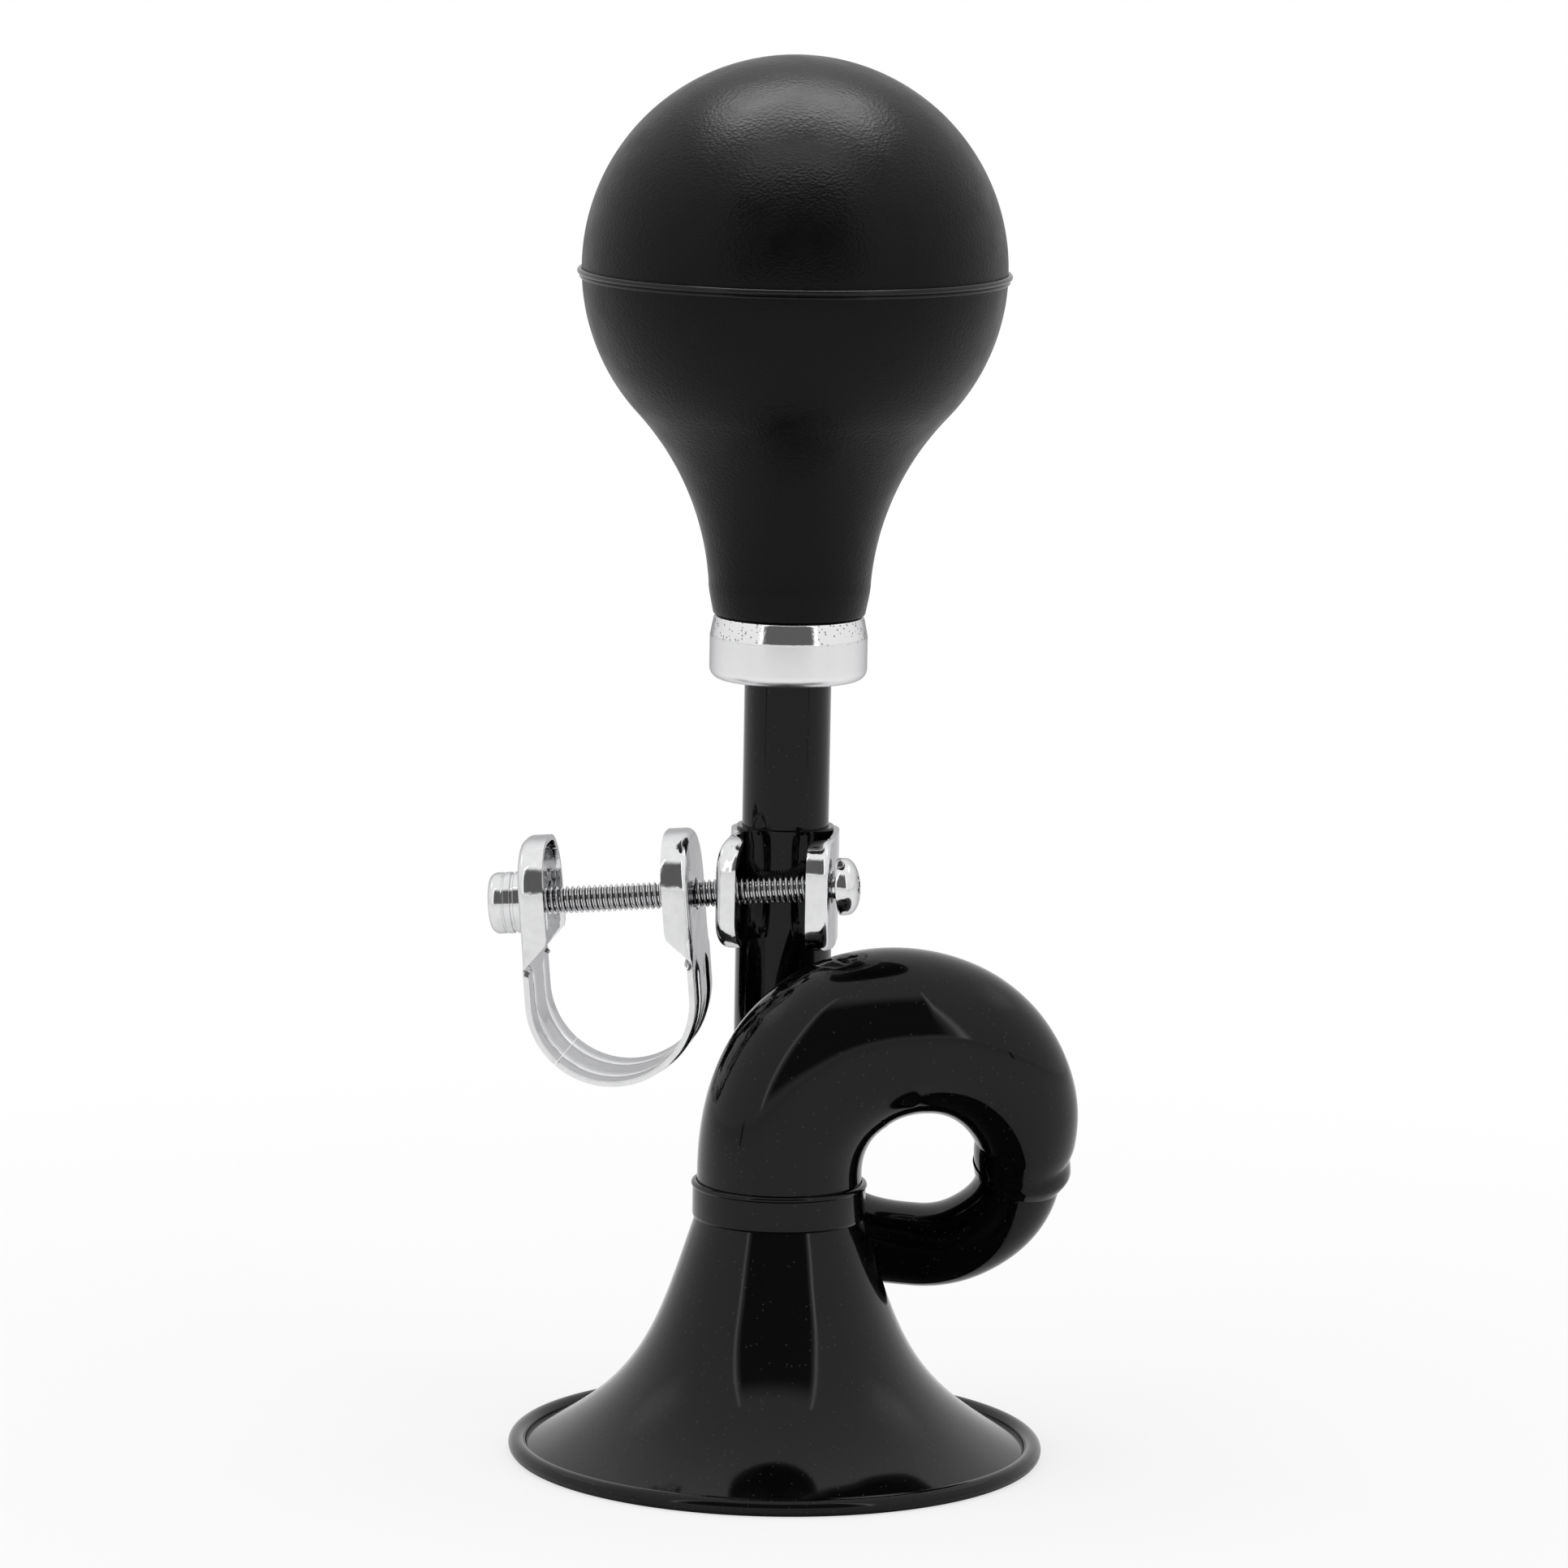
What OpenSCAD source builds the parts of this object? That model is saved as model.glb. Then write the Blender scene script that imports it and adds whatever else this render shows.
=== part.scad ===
// Bicycle bulb horn with one coil in its tube, a rubber bulb, a reed and a double handlebar clamp.
// Lengths are millimetres and angles are degrees. +Z is up, +X right, +Y away from the viewer.
// The origin is the centre of the bell's mouth, on the plane that the rim stands on.

/* [Bell] */
// Radius of the bell over its rolled rim
bell_r = 38; // [34:0.5:42]
// Height at which the flare meets the bell's neck socket
flare_h = 34.3; // [30:0.5:40]
// Thickness of the bell's sheet
bell_sheet = 0.5; // [0.4:0.05:0.8]
// Radius of the bead rolled along the rim
bead_r = 1.25; // [1:0.05:1.6]
// Width of the flat that the bead stands on
rim_flat = 0.9; // [0.5:0.1:1.4]
// Share of the flare that opens as a straight cone
flare_cone = 0.45; // [0.3:0.05:0.6]
// Power of the curve that the rest of the flare follows
flare_power = 4.3; // [3:0.1:6]
// Step inside the neck socket that the tube's end sits on
neck_step = 0.35; // [0.2:0.05:0.45]
// Depth of the neck socket
socket_h = 4.8; // [3:0.2:8]
// Radius of the wire that the rim is rolled over
wire_r = 0.65; // [0.5:0.05:0.7]

/* [Tube] */
// Outer radius of the stem under the bulb
stem_r = 6.22; // [5.6:0.02:6.8]
// Outer radius of the tube where it enters the bell's neck
neck_r = 11.75; // [11:0.05:12.5]
// Thickness of the tube's wall
tube_wall = 0.65; // [0.5:0.05:0.8]
// Radius of the hole in the middle of the coil
eye_r = 8.2; // [7.5:0.1:9]
// Height of the middle of the coil
eye_z = 41; // [40.5:0.5:44]
// Radius of the lower bend across its flattened sides
pinch_r = 6; // [5.6:0.1:6.3]
// Space between the stem and the elbow that passes in front of it
crossing_gap = 0.95; // [0.95:0.05:1.5]
// Half the elbow's height at its shoulder, where it is tallest
shoulder_r = 12.8; // [12:0.1:13.2]
// Angle along the coil at which the elbow is tallest
shoulder_angle = 484; // [478:1:490]
// Height of the mouth of the lower bend's straight leg
leg_top = 87.5; // [86:0.5:90]
// Length of stem inside the straight leg
leg_overlap = 16; // [10:1:20]

/* [Bulb] */
// Radius of the bulb
bulb_r = 30.3; // [28:0.1:32]
// Thickness of the bulb's rubber
bulb_wall = 2.2; // [1.6:0.1:3]
// Height of the seam round the middle of the bulb
seam_z = 167.4; // [165:0.1:172]
// Radius of the hollow curve between the bulb and its neck
throat_curve = 39.5; // [34:0.5:42]
// Outer radius of the bulb's neck
bulb_neck_r = 11.5; // [11.3:0.1:12.2]
// Height of the thick part of the neck that grips the collar
grip_h = 8.5; // [7:0.5:10]
// How far the seam ring stands out from the bulb
seam_out = 0.65; // [0.4:0.05:0.9]
// Height of the seam ring
seam_h = 1.5; // [1:0.1:2]

/* [Collar] */
// Outer radius of the collar
collar_r = 11.3; // [10.8:0.1:11.6]
// Height of the collar's visible ring
collar_h = 9.2; // [8:0.2:10]
// Radius of the round lower edge of the collar
collar_round = 1.6; // [1:0.1:2]
// Radius of the spigot that the bulb's neck is pushed over
spigot_r = 8.5; // [7.8:0.1:8.8]
// Length of stem inside the collar
collar_grip = 5; // [4:0.5:6]

/* [Reed] */
// Outer radius of the brass reed tube
reed_r = 3; // [2.8:0.05:3.2]
// Length of the reed tube
reed_len = 31; // [26:1:34]
// Thickness of the reed tube's wall
reed_wall = 0.45; // [0.35:0.05:0.6]
// Width of the vibrating tongue
tongue_w = 4.4; // [4:0.1:4.6]
// Thickness of the tongue
tongue_t = 0.25; // [0.2:0.05:0.35]
// Angle at which the tongue stands off the reed tube's flat
tongue_lift = 2.6; // [2.3:0.1:3.2]

/* [Stem clip] */
// Height of the screw where it passes in front of the stem
clip_z = 79.1; // [78.9:0.1:79.3]
// Height of the clip's sheet band
clip_h = 15.8; // [15.4:0.2:16.4]
// Thickness of the clip's sheet
clip_t = 0.8; // [0.7:0.05:0.9]
// How far the clip is turned on the stem
clip_turn = 7.2; // [6:0.2:8]
// Distance from the middle of the stem to the outside of the clip's right ear
ear_half = 8.1; // [8:0.1:8.4]
// How far the ears reach past the screw
ear_reach = 5.2; // [4.8:0.1:5.6]
// Depth of the rim turned in round each ear of the clip
ear_rim = 3.2; // [2.8:0.1:3.4]
// How far the left ear is splayed outwards
ear_splay = 12; // [8:1:14]
// Distance from the middle of the stem to the screw
screw_out = 9.6; // [9.4:0.1:10]
// How far the screw passes above the middle of the clip
screw_rise = 0.5; // [0.3:0.1:0.7]

/* [Screw and nut] */
// Radius of the clamp screw
screw_r = 1.98; // [1.8:0.02:2.1]
// How far the screw leans, with its head end up
screw_lean = 5; // [4.6:0.1:5.4]
// Radius of the screw's pan head
head_r = 4.1; // [3.8:0.1:4.4]
// Thickness of the screw's pan head
head_h = 3.1; // [2.6:0.1:3.4]
// Slack between the screw's head and the clip's ear
head_slack = 0.85; // [0.6:0.05:1.1]
// Radius of the cap nut
nut_r = 4.4; // [4.1:0.1:4.6]
// Length of the cap nut
nut_len = 5.3; // [5.1:0.1:6]
// Rise of the screw's thread for one turn
thread_pitch = 0.79; // [0.7:0.01:0.8]
// Turns of the screw from slack to tight
clamp_turns = 3; // [2:0.5:3]

/* [Handlebar strap] */
// Diameter of the handlebar that the strap closes on
bar_d = 22.2; // [20.2:0.2:22.6]
// Room round the handlebar while the strap is slack
bar_slack = 0.3; // [0.2:0.05:0.5]
// Thickness of the strap
strap_t = 0.8; // [0.7:0.05:0.9]
// Width of the strap along the handlebar
strap_w = 18; // [17:0.25:18.5]
// Distance along the screw from the clip's left ear to the strap
strap_gap = 4.2; // [3.8:0.1:4.8]
// Distance from the screw down to the middle of the handlebar
bar_drop = 13.6; // [13.4:0.1:15]
// How far the strap's ears rise over the screw
cup_rise = 9.3; // [8.8:0.1:9.6]
// Depth of the rim turned in round each ear of the strap
cup_rim = 3.7; // [3:0.1:4]
// Radius of the ears' upper corners
cup_corner = 7.5; // [6.5:0.25:8]
// How far the ribs pressed along the strap stand out
rib_h = 0.25; // [0.15:0.05:0.3]

/* [Fits] */
// Space between pieces that are pushed together and soldered or glued
push_gap = 0.05; // [0.03:0.01:0.08]
// Space round a shaft that turns or slides in its hole
run_gap = 0.05; // [0.03:0.01:0.08]
// Space round the screw in the ears' punched holes
hole_gap = 0.32; // [0.28:0.02:0.4]

/* [Hidden] */
$fn = 72;

// Small overlap that lets a cutter pass through a face
eps = 0.02;
// Sides round a swept tube, and degrees between its rings
tube_sides = 32;
ring_angle = 6;

// Tube radii and places that follow from the fits
leg_r = stem_r + push_gap + tube_wall;
eye_x = eye_r + neck_r;
stem_back = neck_r + leg_r + crossing_gap;
sleeve_angle = 348;
overlap_angle = 11;
neck_angle = 540;
sleeve_r = pinch_r + push_gap + tube_wall;
eye_clear = 0.4;
sleeve_d = eye_r + pinch_r + eye_clear;
sleeve_deep = 0.2;
throat_r = neck_r + push_gap + bell_sheet - neck_step;
socket_r = neck_r + push_gap + bell_sheet;
neck_foot = flare_h + bell_sheet;

// Heights up the stem
bulb_foot = seam_z - sqrt(pow(bulb_r + throat_curve, 2) - pow(bulb_neck_r + throat_curve, 2));
neck_round = 1.8;
collar_top = bulb_foot - neck_round;
collar_foot = collar_top - collar_h;
stem_top = collar_foot + collar_grip;
stem_foot = leg_top - leg_overlap;
shelf_h = 1.3;
bush_foot = stem_top + shelf_h;
spigot_top = collar_top + grip_h - 0.6;
grip_top = collar_top + grip_h;
bush_top = spigot_top - 1;
bush_r = spigot_r - 3;
flat_y = -(reed_r - 1.25);
tongue_gap = 0.1;
tongue_pivot = bush_top + 1;
wedge_len = 5;

// Clamp places along the screw, from the middle of the stem
band_r = leg_r + run_gap;
hole_r = screw_r + hole_gap;
head_seat = ear_half + head_slack;
knee = 4.6;
left_root = sqrt(pow(band_r + clip_t / 2, 2) - pow(knee, 2));
left_half = left_root + clip_t / 2 / cos(ear_splay) + (screw_out - knee) * tan(ear_splay);
bar_room_r = bar_d / 2 + bar_slack;
strap_r = bar_room_r + strap_t;
strap_x = -(left_half + strap_gap + strap_r);
nut_seat = strap_x - strap_r;
nut_travel = thread_pitch * clamp_turns;
nut_wall = 0.7;
screw_tip = nut_seat - (nut_len - nut_wall - nut_travel - 0.15);
screw_len = head_seat - screw_tip;
hinge_angle = 225;
hinge_gap = 0.15;
cup_foot = 8.6;
oval_hole = 0.3;

// Smooth step from 0 to 1 while v goes from a to b
function ease(a, b, v) = (1 - cos(180 * min(max((v - a) / (b - a), 0), 1))) / 2;

// The coil runs by an angle seen from the front: 180 at the stem, 270 below the eye, 360 to its
// right, 450 above it and 540 where the tube enters the bell.
function grown(a) = min(max((a - 360) / 95, 0), 1);
function upper_r(a) = sleeve_r + (neck_r - sleeve_r) * grown(a);
// Half the elbow's height: it swells up to the shoulder and draws in again to the neck
function upper_h(a) = a < shoulder_angle
    ? sleeve_r + (shoulder_r - sleeve_r) * (1 - pow(1 - max(a - 360, 0) / (shoulder_angle - 360), 1.35))
    : shoulder_r - (shoulder_r - neck_r) * ease(shoulder_angle, neck_angle, a);
function upper_d(a) = sleeve_d + (eye_r + upper_h(a) - sleeve_d) * ease(358, 376, a);
function lower_d(a) = eye_x + (eye_r + pinch_r - eye_x) * ease(180, 270, a) + eye_clear * ease(300, 342, a);
function lower_in(a) = leg_r + (pinch_r - leg_r) * ease(180, 262, a);
function lower_out(a) = leg_r + (pinch_r + sleeve_deep - leg_r) * ease(190, 280, a);
function depth(a) = stem_back * (1 - ease(205, 500, a));
function coil(a, d) = [eye_x + d * cos(a), depth(a), eye_z + d * sin(a)];

function unit(v) = v / norm(v);
// One ring of a tube: an ellipse across the run, r_in towards the eye and r_out towards the viewer
function ring(p, run, out, r_in, r_out) =
    let (side = unit(cross(run, out)), lift = cross(side, run))
    [for (i = [0 : tube_sides - 1])
        let (t = 360 * i / tube_sides)
        p + r_in * cos(t) * lift + r_out * sin(t) * side];
function upper_p(a) = coil(a, upper_d(a));
function lower_p(a) = coil(a, lower_d(a));
function radial(a) = [cos(a), 0, sin(a)];
function upper_ring(a, w) =
    ring(upper_p(a), unit(upper_p(a + 1) - upper_p(a - 1)), radial(a),
        upper_h(a) - w, upper_r(a) + sleeve_deep * (1 - ease(358, 372, a)) - w);
function lower_ring(a, w) =
    ring(lower_p(a), a <= 180 ? [0, 0, -1] : unit(lower_p(a + 1) - lower_p(a - 1)), radial(a),
        lower_in(a) - w, lower_out(a) - w);

// Closed skin over two equal stacks of rings: the outside and the bore
module swept(outer, inner) {
    n = len(outer);
    s = tube_sides;
    points = [for (r = outer) each r, for (r = inner) each r];
    function at(k, i) = k * s + i % s;
    walls = [for (k = [0 : n - 2], i = [0 : s - 1])
        each [[at(k, i), at(k + 1, i + 1), at(k, i + 1)], [at(k, i), at(k + 1, i), at(k + 1, i + 1)]]];
    bores = [for (k = [n : 2 * n - 2], i = [0 : s - 1])
        each [[at(k, i), at(k, i + 1), at(k + 1, i + 1)], [at(k, i), at(k + 1, i + 1), at(k + 1, i)]]];
    starts = [for (i = [0 : s - 1])
        each [[at(0, i), at(0, i + 1), at(n, i + 1)], [at(0, i), at(n, i + 1), at(n, i)]]];
    ends = [for (i = [0 : s - 1])
        each [[at(n - 1, i), at(2 * n - 1, i + 1), at(n - 1, i + 1)],
            [at(n - 1, i), at(2 * n - 1, i), at(2 * n - 1, i + 1)]]];
    polyhedron(points, concat(walls, bores, starts, ends), convexity = 8);
}

// The flare's outer line from the socket down to the bead, and the same line moved in by the sheet
flare_foot_r = bell_r - 2 * bead_r - 0.1;
flare_foot_z = bell_sheet + 0.35;
function flare(t) =
    [throat_r + (flare_foot_r - throat_r) * (flare_cone * t + (1 - flare_cone) * pow(t, flare_power)),
        flare_h + (flare_foot_z - flare_h) * t];
function flare_in(t) = let (d = unit(flare(t + 0.001) - flare(t - 0.001)))
    flare(t) + bell_sheet * [d[1], -d[0]];
flare_steps = 28;
bead_z = sqrt(pow(bead_r, 2) - pow(rim_flat / 2, 2));

function arc(c, r, from, to, n) =
    [for (i = [0 : n]) let (t = from + (to - from) * i / n) [c[0] + r * cos(t), c[1] + r * sin(t)]];

module bell() {
    top = neck_foot + socket_h;
    foot = acos(rim_flat / 2 / bead_r);
    color("#1b1b1c") rotate_extrude($fn = 96) difference() {
        polygon(concat(
            [[socket_r - bell_sheet, top]],
            // Lip turned out at the socket's mouth, then its rounded shoulder
            arc([socket_r - 0.25, top - 0.45], 0.45, 90, -56, 5),
            [[socket_r, flare_h + 0.5], [socket_r - 0.1, flare_h + 0.2]],
            [for (i = [0 : flare_steps]) flare(i / flare_steps)],
            // Rolled bead and its flat foot
            arc([bell_r - bead_r, bead_z], bead_r, 190, -foot, 20),
            arc([bell_r - bead_r, bead_z], bead_r, foot - 180, -148, 2),
            [for (i = [flare_steps : -1 : 1]) flare_in(i / flare_steps)],
            [[throat_r - bell_sheet, flare_h], [throat_r - bell_sheet, neck_foot],
                [socket_r - bell_sheet, neck_foot]]));
        // Hollow that holds the wire
        translate([bell_r - bead_r, bead_z]) circle(wire_r + push_gap, $fn = 40);
    }
}

module rim_wire() {
    color("#8f9294") rotate_extrude($fn = 96)
        translate([bell_r - bead_r, bead_z]) circle(wire_r, $fn = 32);
}

// Elbow that grows from the sleeve on the right, over the eye and down into the bell
module upper_bend() {
    steps = [for (a = [sleeve_angle : ring_angle - 1 : neck_angle - ring_angle]) a, neck_angle];
    function foot(w) = [for (p = upper_ring(neck_angle, w)) [p[0], p[1], neck_foot]];
    color("#1b1b1c") swept(
        [for (a = steps) upper_ring(a, 0), foot(0)],
        [for (a = steps) upper_ring(a, tube_wall), foot(tube_wall)]);
}

// Straight leg behind the elbow, then the lower half of the coil up to its end in the sleeve
module lower_bend() {
    last = sleeve_angle + overlap_angle - 1;
    steps = [for (a = [183 : ring_angle : last - 3]) a, last];
    function root(w) = ring([0, stem_back, eye_z + 1], [0, 0, -1], radial(180), leg_r - w, leg_r - w);
    color("#1b1b1c") union() {
        translate([0, stem_back, eye_z]) difference() {
            cylinder(r = leg_r, h = leg_top - eye_z);
            translate([0, 0, -1]) cylinder(r = leg_r - tube_wall, h = leg_top - eye_z + 2);
        }
        swept(
            [root(0.12), for (a = steps) lower_ring(a, 0)],
            [root(tube_wall - 0.12), for (a = steps) lower_ring(a, tube_wall)]);
    }
}

module stem_tube() {
    color("#1b1b1c") translate([0, stem_back, stem_foot]) difference() {
        cylinder(r = stem_r, h = stem_top - stem_foot);
        translate([0, 0, -1]) cylinder(r = stem_r - tube_wall, h = stem_top - stem_foot + 2);
    }
}

// Turned ring with a grooved spigot for the bulb and a shelf under the reed's bush
module collar() {
    groove = 0.4;
    color("#c9cacb") translate([0, stem_back, 0]) rotate_extrude() difference() {
        union() {
            translate([0, collar_foot + collar_round])
                square([collar_r, collar_h - collar_round - 0.6]);
            translate([0, collar_foot]) square([collar_r - collar_round, collar_h]);
            translate([collar_r - collar_round, collar_foot + collar_round])
                circle(collar_round, $fn = 40);
            polygon([[0, collar_top - 0.6], [collar_r, collar_top - 0.6],
                [collar_r - 0.5, collar_top], [0, collar_top]]);
            translate([0, collar_top - eps]) square([spigot_r, spigot_top - collar_top + eps]);
            translate([0, collar_foot - 0.4]) square([stem_r + 0.5, 1]);
        }
        for (z = [2 : 2 : spigot_top - collar_top - 1])
            translate([spigot_r - groove, collar_top + z]) square([1, 0.8]);
        translate([-1, collar_foot - 1]) square([stem_r + push_gap + 1, stem_top - collar_foot + 1]);
        translate([-1, stem_top - 1]) square([reed_r + 1, shelf_h + 2]);
        translate([-1, bush_foot]) square([bush_r + push_gap + 1, spigot_top]);
    }
}

// Plug in the spigot, with a bore for the reed tube and a keyway for the tongue and its wedge
module reed_bush() {
    color("#2c2a28") translate([0, stem_back, 0]) difference() {
        translate([0, 0, bush_foot]) cylinder(r = bush_r, h = bush_top - bush_foot);
        translate([0, 0, bush_foot - 1]) cylinder(r = reed_r + push_gap, h = reed_len);
        translate([-tongue_w / 2 - tongue_gap, -bush_r + 0.9, bush_top - wedge_len])
            cube([tongue_w + 2 * tongue_gap, bush_r, wedge_len + 1]);
    }
}

// Brass tube with a round closed top and a flat face that the air enters through
module reed_tube() {
    dome_z = bush_foot + reed_len - reed_r;
    slot_w = 2.6;
    slot_z = tongue_pivot + 3;
    color("#b99444") translate([0, stem_back, 0]) difference() {
        intersection() {
            union() {
                translate([0, 0, bush_foot + push_gap])
                    cylinder(r = reed_r, h = dome_z - bush_foot - push_gap);
                translate([0, 0, dome_z]) sphere(r = reed_r);
            }
            translate([-reed_r, flat_y, bush_foot]) cube([2 * reed_r, 2 * reed_r, reed_len]);
        }
        intersection() {
            union() {
                translate([0, 0, bush_foot - 1]) cylinder(r = reed_r - reed_wall, h = dome_z - bush_foot + 1);
                translate([0, 0, dome_z]) sphere(r = reed_r - reed_wall);
            }
            translate([-reed_r, flat_y + reed_wall, bush_foot - 2])
                cube([2 * reed_r, 2 * reed_r, reed_len + 2]);
        }
        translate([-slot_w / 2, flat_y - 1, slot_z]) cube([slot_w, 2, dome_z - slot_z - 1]);
    }
}

// Springy strip that stands a little off the reed tube's flat
module reed_tongue() {
    root = 3.5;
    blade = bush_foot + reed_len - reed_r + 1 - tongue_pivot;
    tip = -blade * sin(tongue_lift);
    color("#c9a552") translate([0, stem_back + flat_y - tongue_gap - tongue_t, tongue_pivot])
        rotate([90, 0, 90]) linear_extrude(tongue_w, center = true) polygon([
            [0, -root], [tongue_t, -root], [tongue_t, 0], [tip + tongue_t, blade], [tip, blade], [0, 0]]);
}

module reed_wedge() {
    front = -bush_r + 0.9 + push_gap;
    back = flat_y - 2 * tongue_gap - tongue_t;
    color("#9c7b3a") translate([-tongue_w / 2, stem_back + front, bush_top - wedge_len + 0.1])
        cube([tongue_w, back - front, wedge_len - 0.1]);
}

// Outline of the bulb as a ball that runs through a hollow curve into the neck, less a wall
meet_angle = acos((bulb_neck_r + throat_curve) / (bulb_r + throat_curve));
function bulb_line(w) = concat(
    [for (t = [90 : -6 : 0]) (bulb_r - w) * [cos(t), sin(t)] + [0, seam_z]],
    [for (i = [1 : 8]) let (t = -meet_angle * i / 8) (bulb_r - w) * [cos(t), sin(t)] + [0, seam_z]],
    [for (i = [1 : 12]) let (t = 180 - meet_angle * (1 - i / 12))
        (throat_curve + w) * [cos(t), sin(t)] + [bulb_neck_r + throat_curve, bulb_foot]]);

module bulb_body() {
    translate([0, stem_back, 0]) rotate_extrude($fn = 96) children();
}

module bulb_outline() {
    polygon(concat(bulb_line(0), [
        [bulb_neck_r, bulb_foot], [bulb_neck_r - 0.35, bulb_foot - neck_round / 2],
        [bulb_neck_r - 1.3, collar_top], [0, collar_top]]));
}

module bulb_hollow() {
    polygon(concat(bulb_line(bulb_wall), [[0, bulb_foot]]));
}

module between(low, high) {
    intersection() {
        children();
        translate([0, low]) square([2 * bulb_r, high - low]);
    }
}

// Thick root of the rubber, which grips the collar's spigot
module bulb_neck() {
    color("#222223") bulb_body() difference() {
        between(collar_top, grip_top) bulb_outline();
        square([spigot_r + push_gap, grip_top + 1]);
    }
}

// Lower half of the rubber, a hair short of the seam, which folds when the bulb is squeezed
module bulb_skirt() {
    color("#242425") bulb_body() difference() {
        between(grip_top, seam_z - seam_h / 2 - push_gap) bulb_outline();
        bulb_hollow();
    }
}

// Upper half of the rubber, with a rebate for the seam ring
module bulb_dome() {
    color("#242425") bulb_body() difference() {
        between(seam_z - seam_h / 2, seam_z + bulb_r + 1) bulb_outline();
        bulb_hollow();
        translate([bulb_r - 0.6, seam_z - 1]) square([2, seam_h / 2 + 1]);
    }
}

// Bead moulded round the seam
module seam_ring() {
    ring_r = seam_out + 0.6 - push_gap;
    color("#2b2b2c") bulb_body() intersection() {
        translate([bulb_r - 0.6 + push_gap, seam_z - seam_h / 2]) square([ring_r, seam_h - push_gap]);
        translate([bulb_r + seam_out - seam_h / 2 - 0.15, seam_z]) circle(seam_h / 2 + 0.15, $fn = 32);
    }
}

// Ear blank lying flat: it runs from start to reach along X and is width wide, with two round corners
module ear_blank(start, reach, width, corner) {
    translate([start, -width / 2]) square([reach - corner - start, width]);
    translate([reach - corner - eps, -width / 2 + corner]) square([corner + eps, width - 2 * corner]);
    for (side = [-1, 1])
        translate([reach - corner, side * (width / 2 - corner)]) circle(corner);
}

// Ear with its rim turned up, cut off aslant where the rim starts
module cupped_ear(start, reach, width, corner, rim, t, rim_start) {
    linear_extrude(t) ear_blank(start, reach, width, corner);
    difference() {
        linear_extrude(rim) difference() {
            ear_blank(rim_start, reach, width, corner);
            ear_blank(rim_start - 1, reach - t, width - 2 * t, corner - t);
        }
        rotate([90, 0, 0]) linear_extrude(2 * width, center = true)
            polygon([[rim_start - 1, 0], [rim_start, 0], [rim_start + rim + 1, rim + 1],
                [rim_start - 1, rim + 1]]);
    }
}

module on_clip() {
    translate([0, stem_back, clip_z]) rotate([0, 0, -clip_turn]) children();
}

// X runs along the screw, with X = 0 in front of the middle of the stem
module on_screw() {
    on_clip() translate([0, -screw_out, screw_rise]) rotate([0, -screw_lean, 0]) children();
}

// Plan of the clip's band: on the right it leaves the stem for a straight leg, on the left it hugs the
// stem as far as the bend where the ear starts
module clip_plan() {
    spread = (ear_half - band_r - clip_t) / knee;
    difference() {
        union() {
            intersection() {
                circle(band_r + clip_t);
                union() {
                    translate([-20, -0.3]) square([40, 20]);
                    translate([-20, -knee]) square([20, 20]);
                }
            }
            polygon([[0, 1], [band_r + clip_t - spread, 1], [ear_half, -knee], [ear_half, -knee - 0.6],
                [0, -knee - 0.6]]);
            translate([-left_root, -knee]) circle(clip_t / 2);
        }
        circle(band_r);
        polygon([[0, 1], [band_r - spread, 1], [ear_half - clip_t, -knee], [ear_half - clip_t, -knee - 1],
            [0, -knee - 1]]);
        translate([-left_root + clip_t, -knee - 2]) square([left_root, 2]);
    }
}

// The root is the outer corner of the ear's bend
module clip_ear(root, splay) {
    translate([root, -knee, 0]) rotate([0, 0, splay]) rotate([90, 0, -90])
        cupped_ear(0, screw_out + ear_reach - knee, clip_h, 4.5, ear_rim, clip_t, 3.4);
}

// Sheet clip that wraps the back of the stem, its right ear straight and its left ear splayed
module stem_clip() {
    color("#d8dadc") difference() {
        on_clip() {
            linear_extrude(clip_h, center = true) clip_plan();
            clip_ear(ear_half, 0);
            mirror([1, 0, 0]) clip_ear(left_root + clip_t / 2, ear_splay);
        }
        on_screw() rotate([0, 90, 0]) cylinder(r = hole_r, h = 30, center = true);
    }
}

// Pan-head screw with a plain shank where its thread runs
module clamp_screw() {
    rim_h = 1.2;
    color("#cfd1d3") on_screw() translate([screw_tip, 0, 0]) rotate([0, 90, 0]) {
        cylinder(r = screw_r, h = screw_len + eps);
        translate([0, 0, screw_len]) intersection() {
            cylinder(r = head_r, h = head_h);
            dome_r = (pow(head_r, 2) + pow(head_h - rim_h, 2)) / (2 * (head_h - rim_h));
            translate([0, 0, head_h - dome_r]) sphere(r = dome_r);
        }
    }
}

// Closed round nut with one groove round it
module cap_nut() {
    edge = 1.2;
    color("#cfd1d3") on_screw() translate([nut_seat, 0, 0]) rotate([0, -90, 0]) rotate_extrude() difference() {
        union() {
            square([nut_r, nut_len - edge]);
            square([nut_r - edge, nut_len]);
            translate([nut_r - edge, nut_len - edge]) circle(edge, $fn = 32);
        }
        translate([-1, -1]) square([screw_r + run_gap + 1, nut_len - nut_wall + 1]);
        translate([nut_r - 0.2, nut_len * 0.55]) square([1, 0.3]);
        translate([-nut_r, -1]) square([nut_r, nut_len + 2]);
    }
}

module on_strap() {
    on_screw() translate([strap_x, 0, 0]) children();
}

// Section of the strap: X is away from the handlebar and Y runs along it, with two pressed ribs
module strap_section() {
    rib_w = 1.8;
    rib_at = strap_w / 4;
    translate([bar_room_r, -strap_w / 2]) square([strap_t, strap_w]);
    for (side = [-1, 1])
        translate([strap_r - eps, side * rib_at - rib_w / 2]) square([rib_h + eps, rib_w]);
}

// Part of the loop under the handlebar, between two angles seen from the front
module strap_loop(from, to) {
    translate([0, 0, -bar_drop]) rotate([90, 0, 0]) rotate([0, 0, from])
        rotate_extrude(angle = to - from, $fn = 120) strap_section();
}

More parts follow.
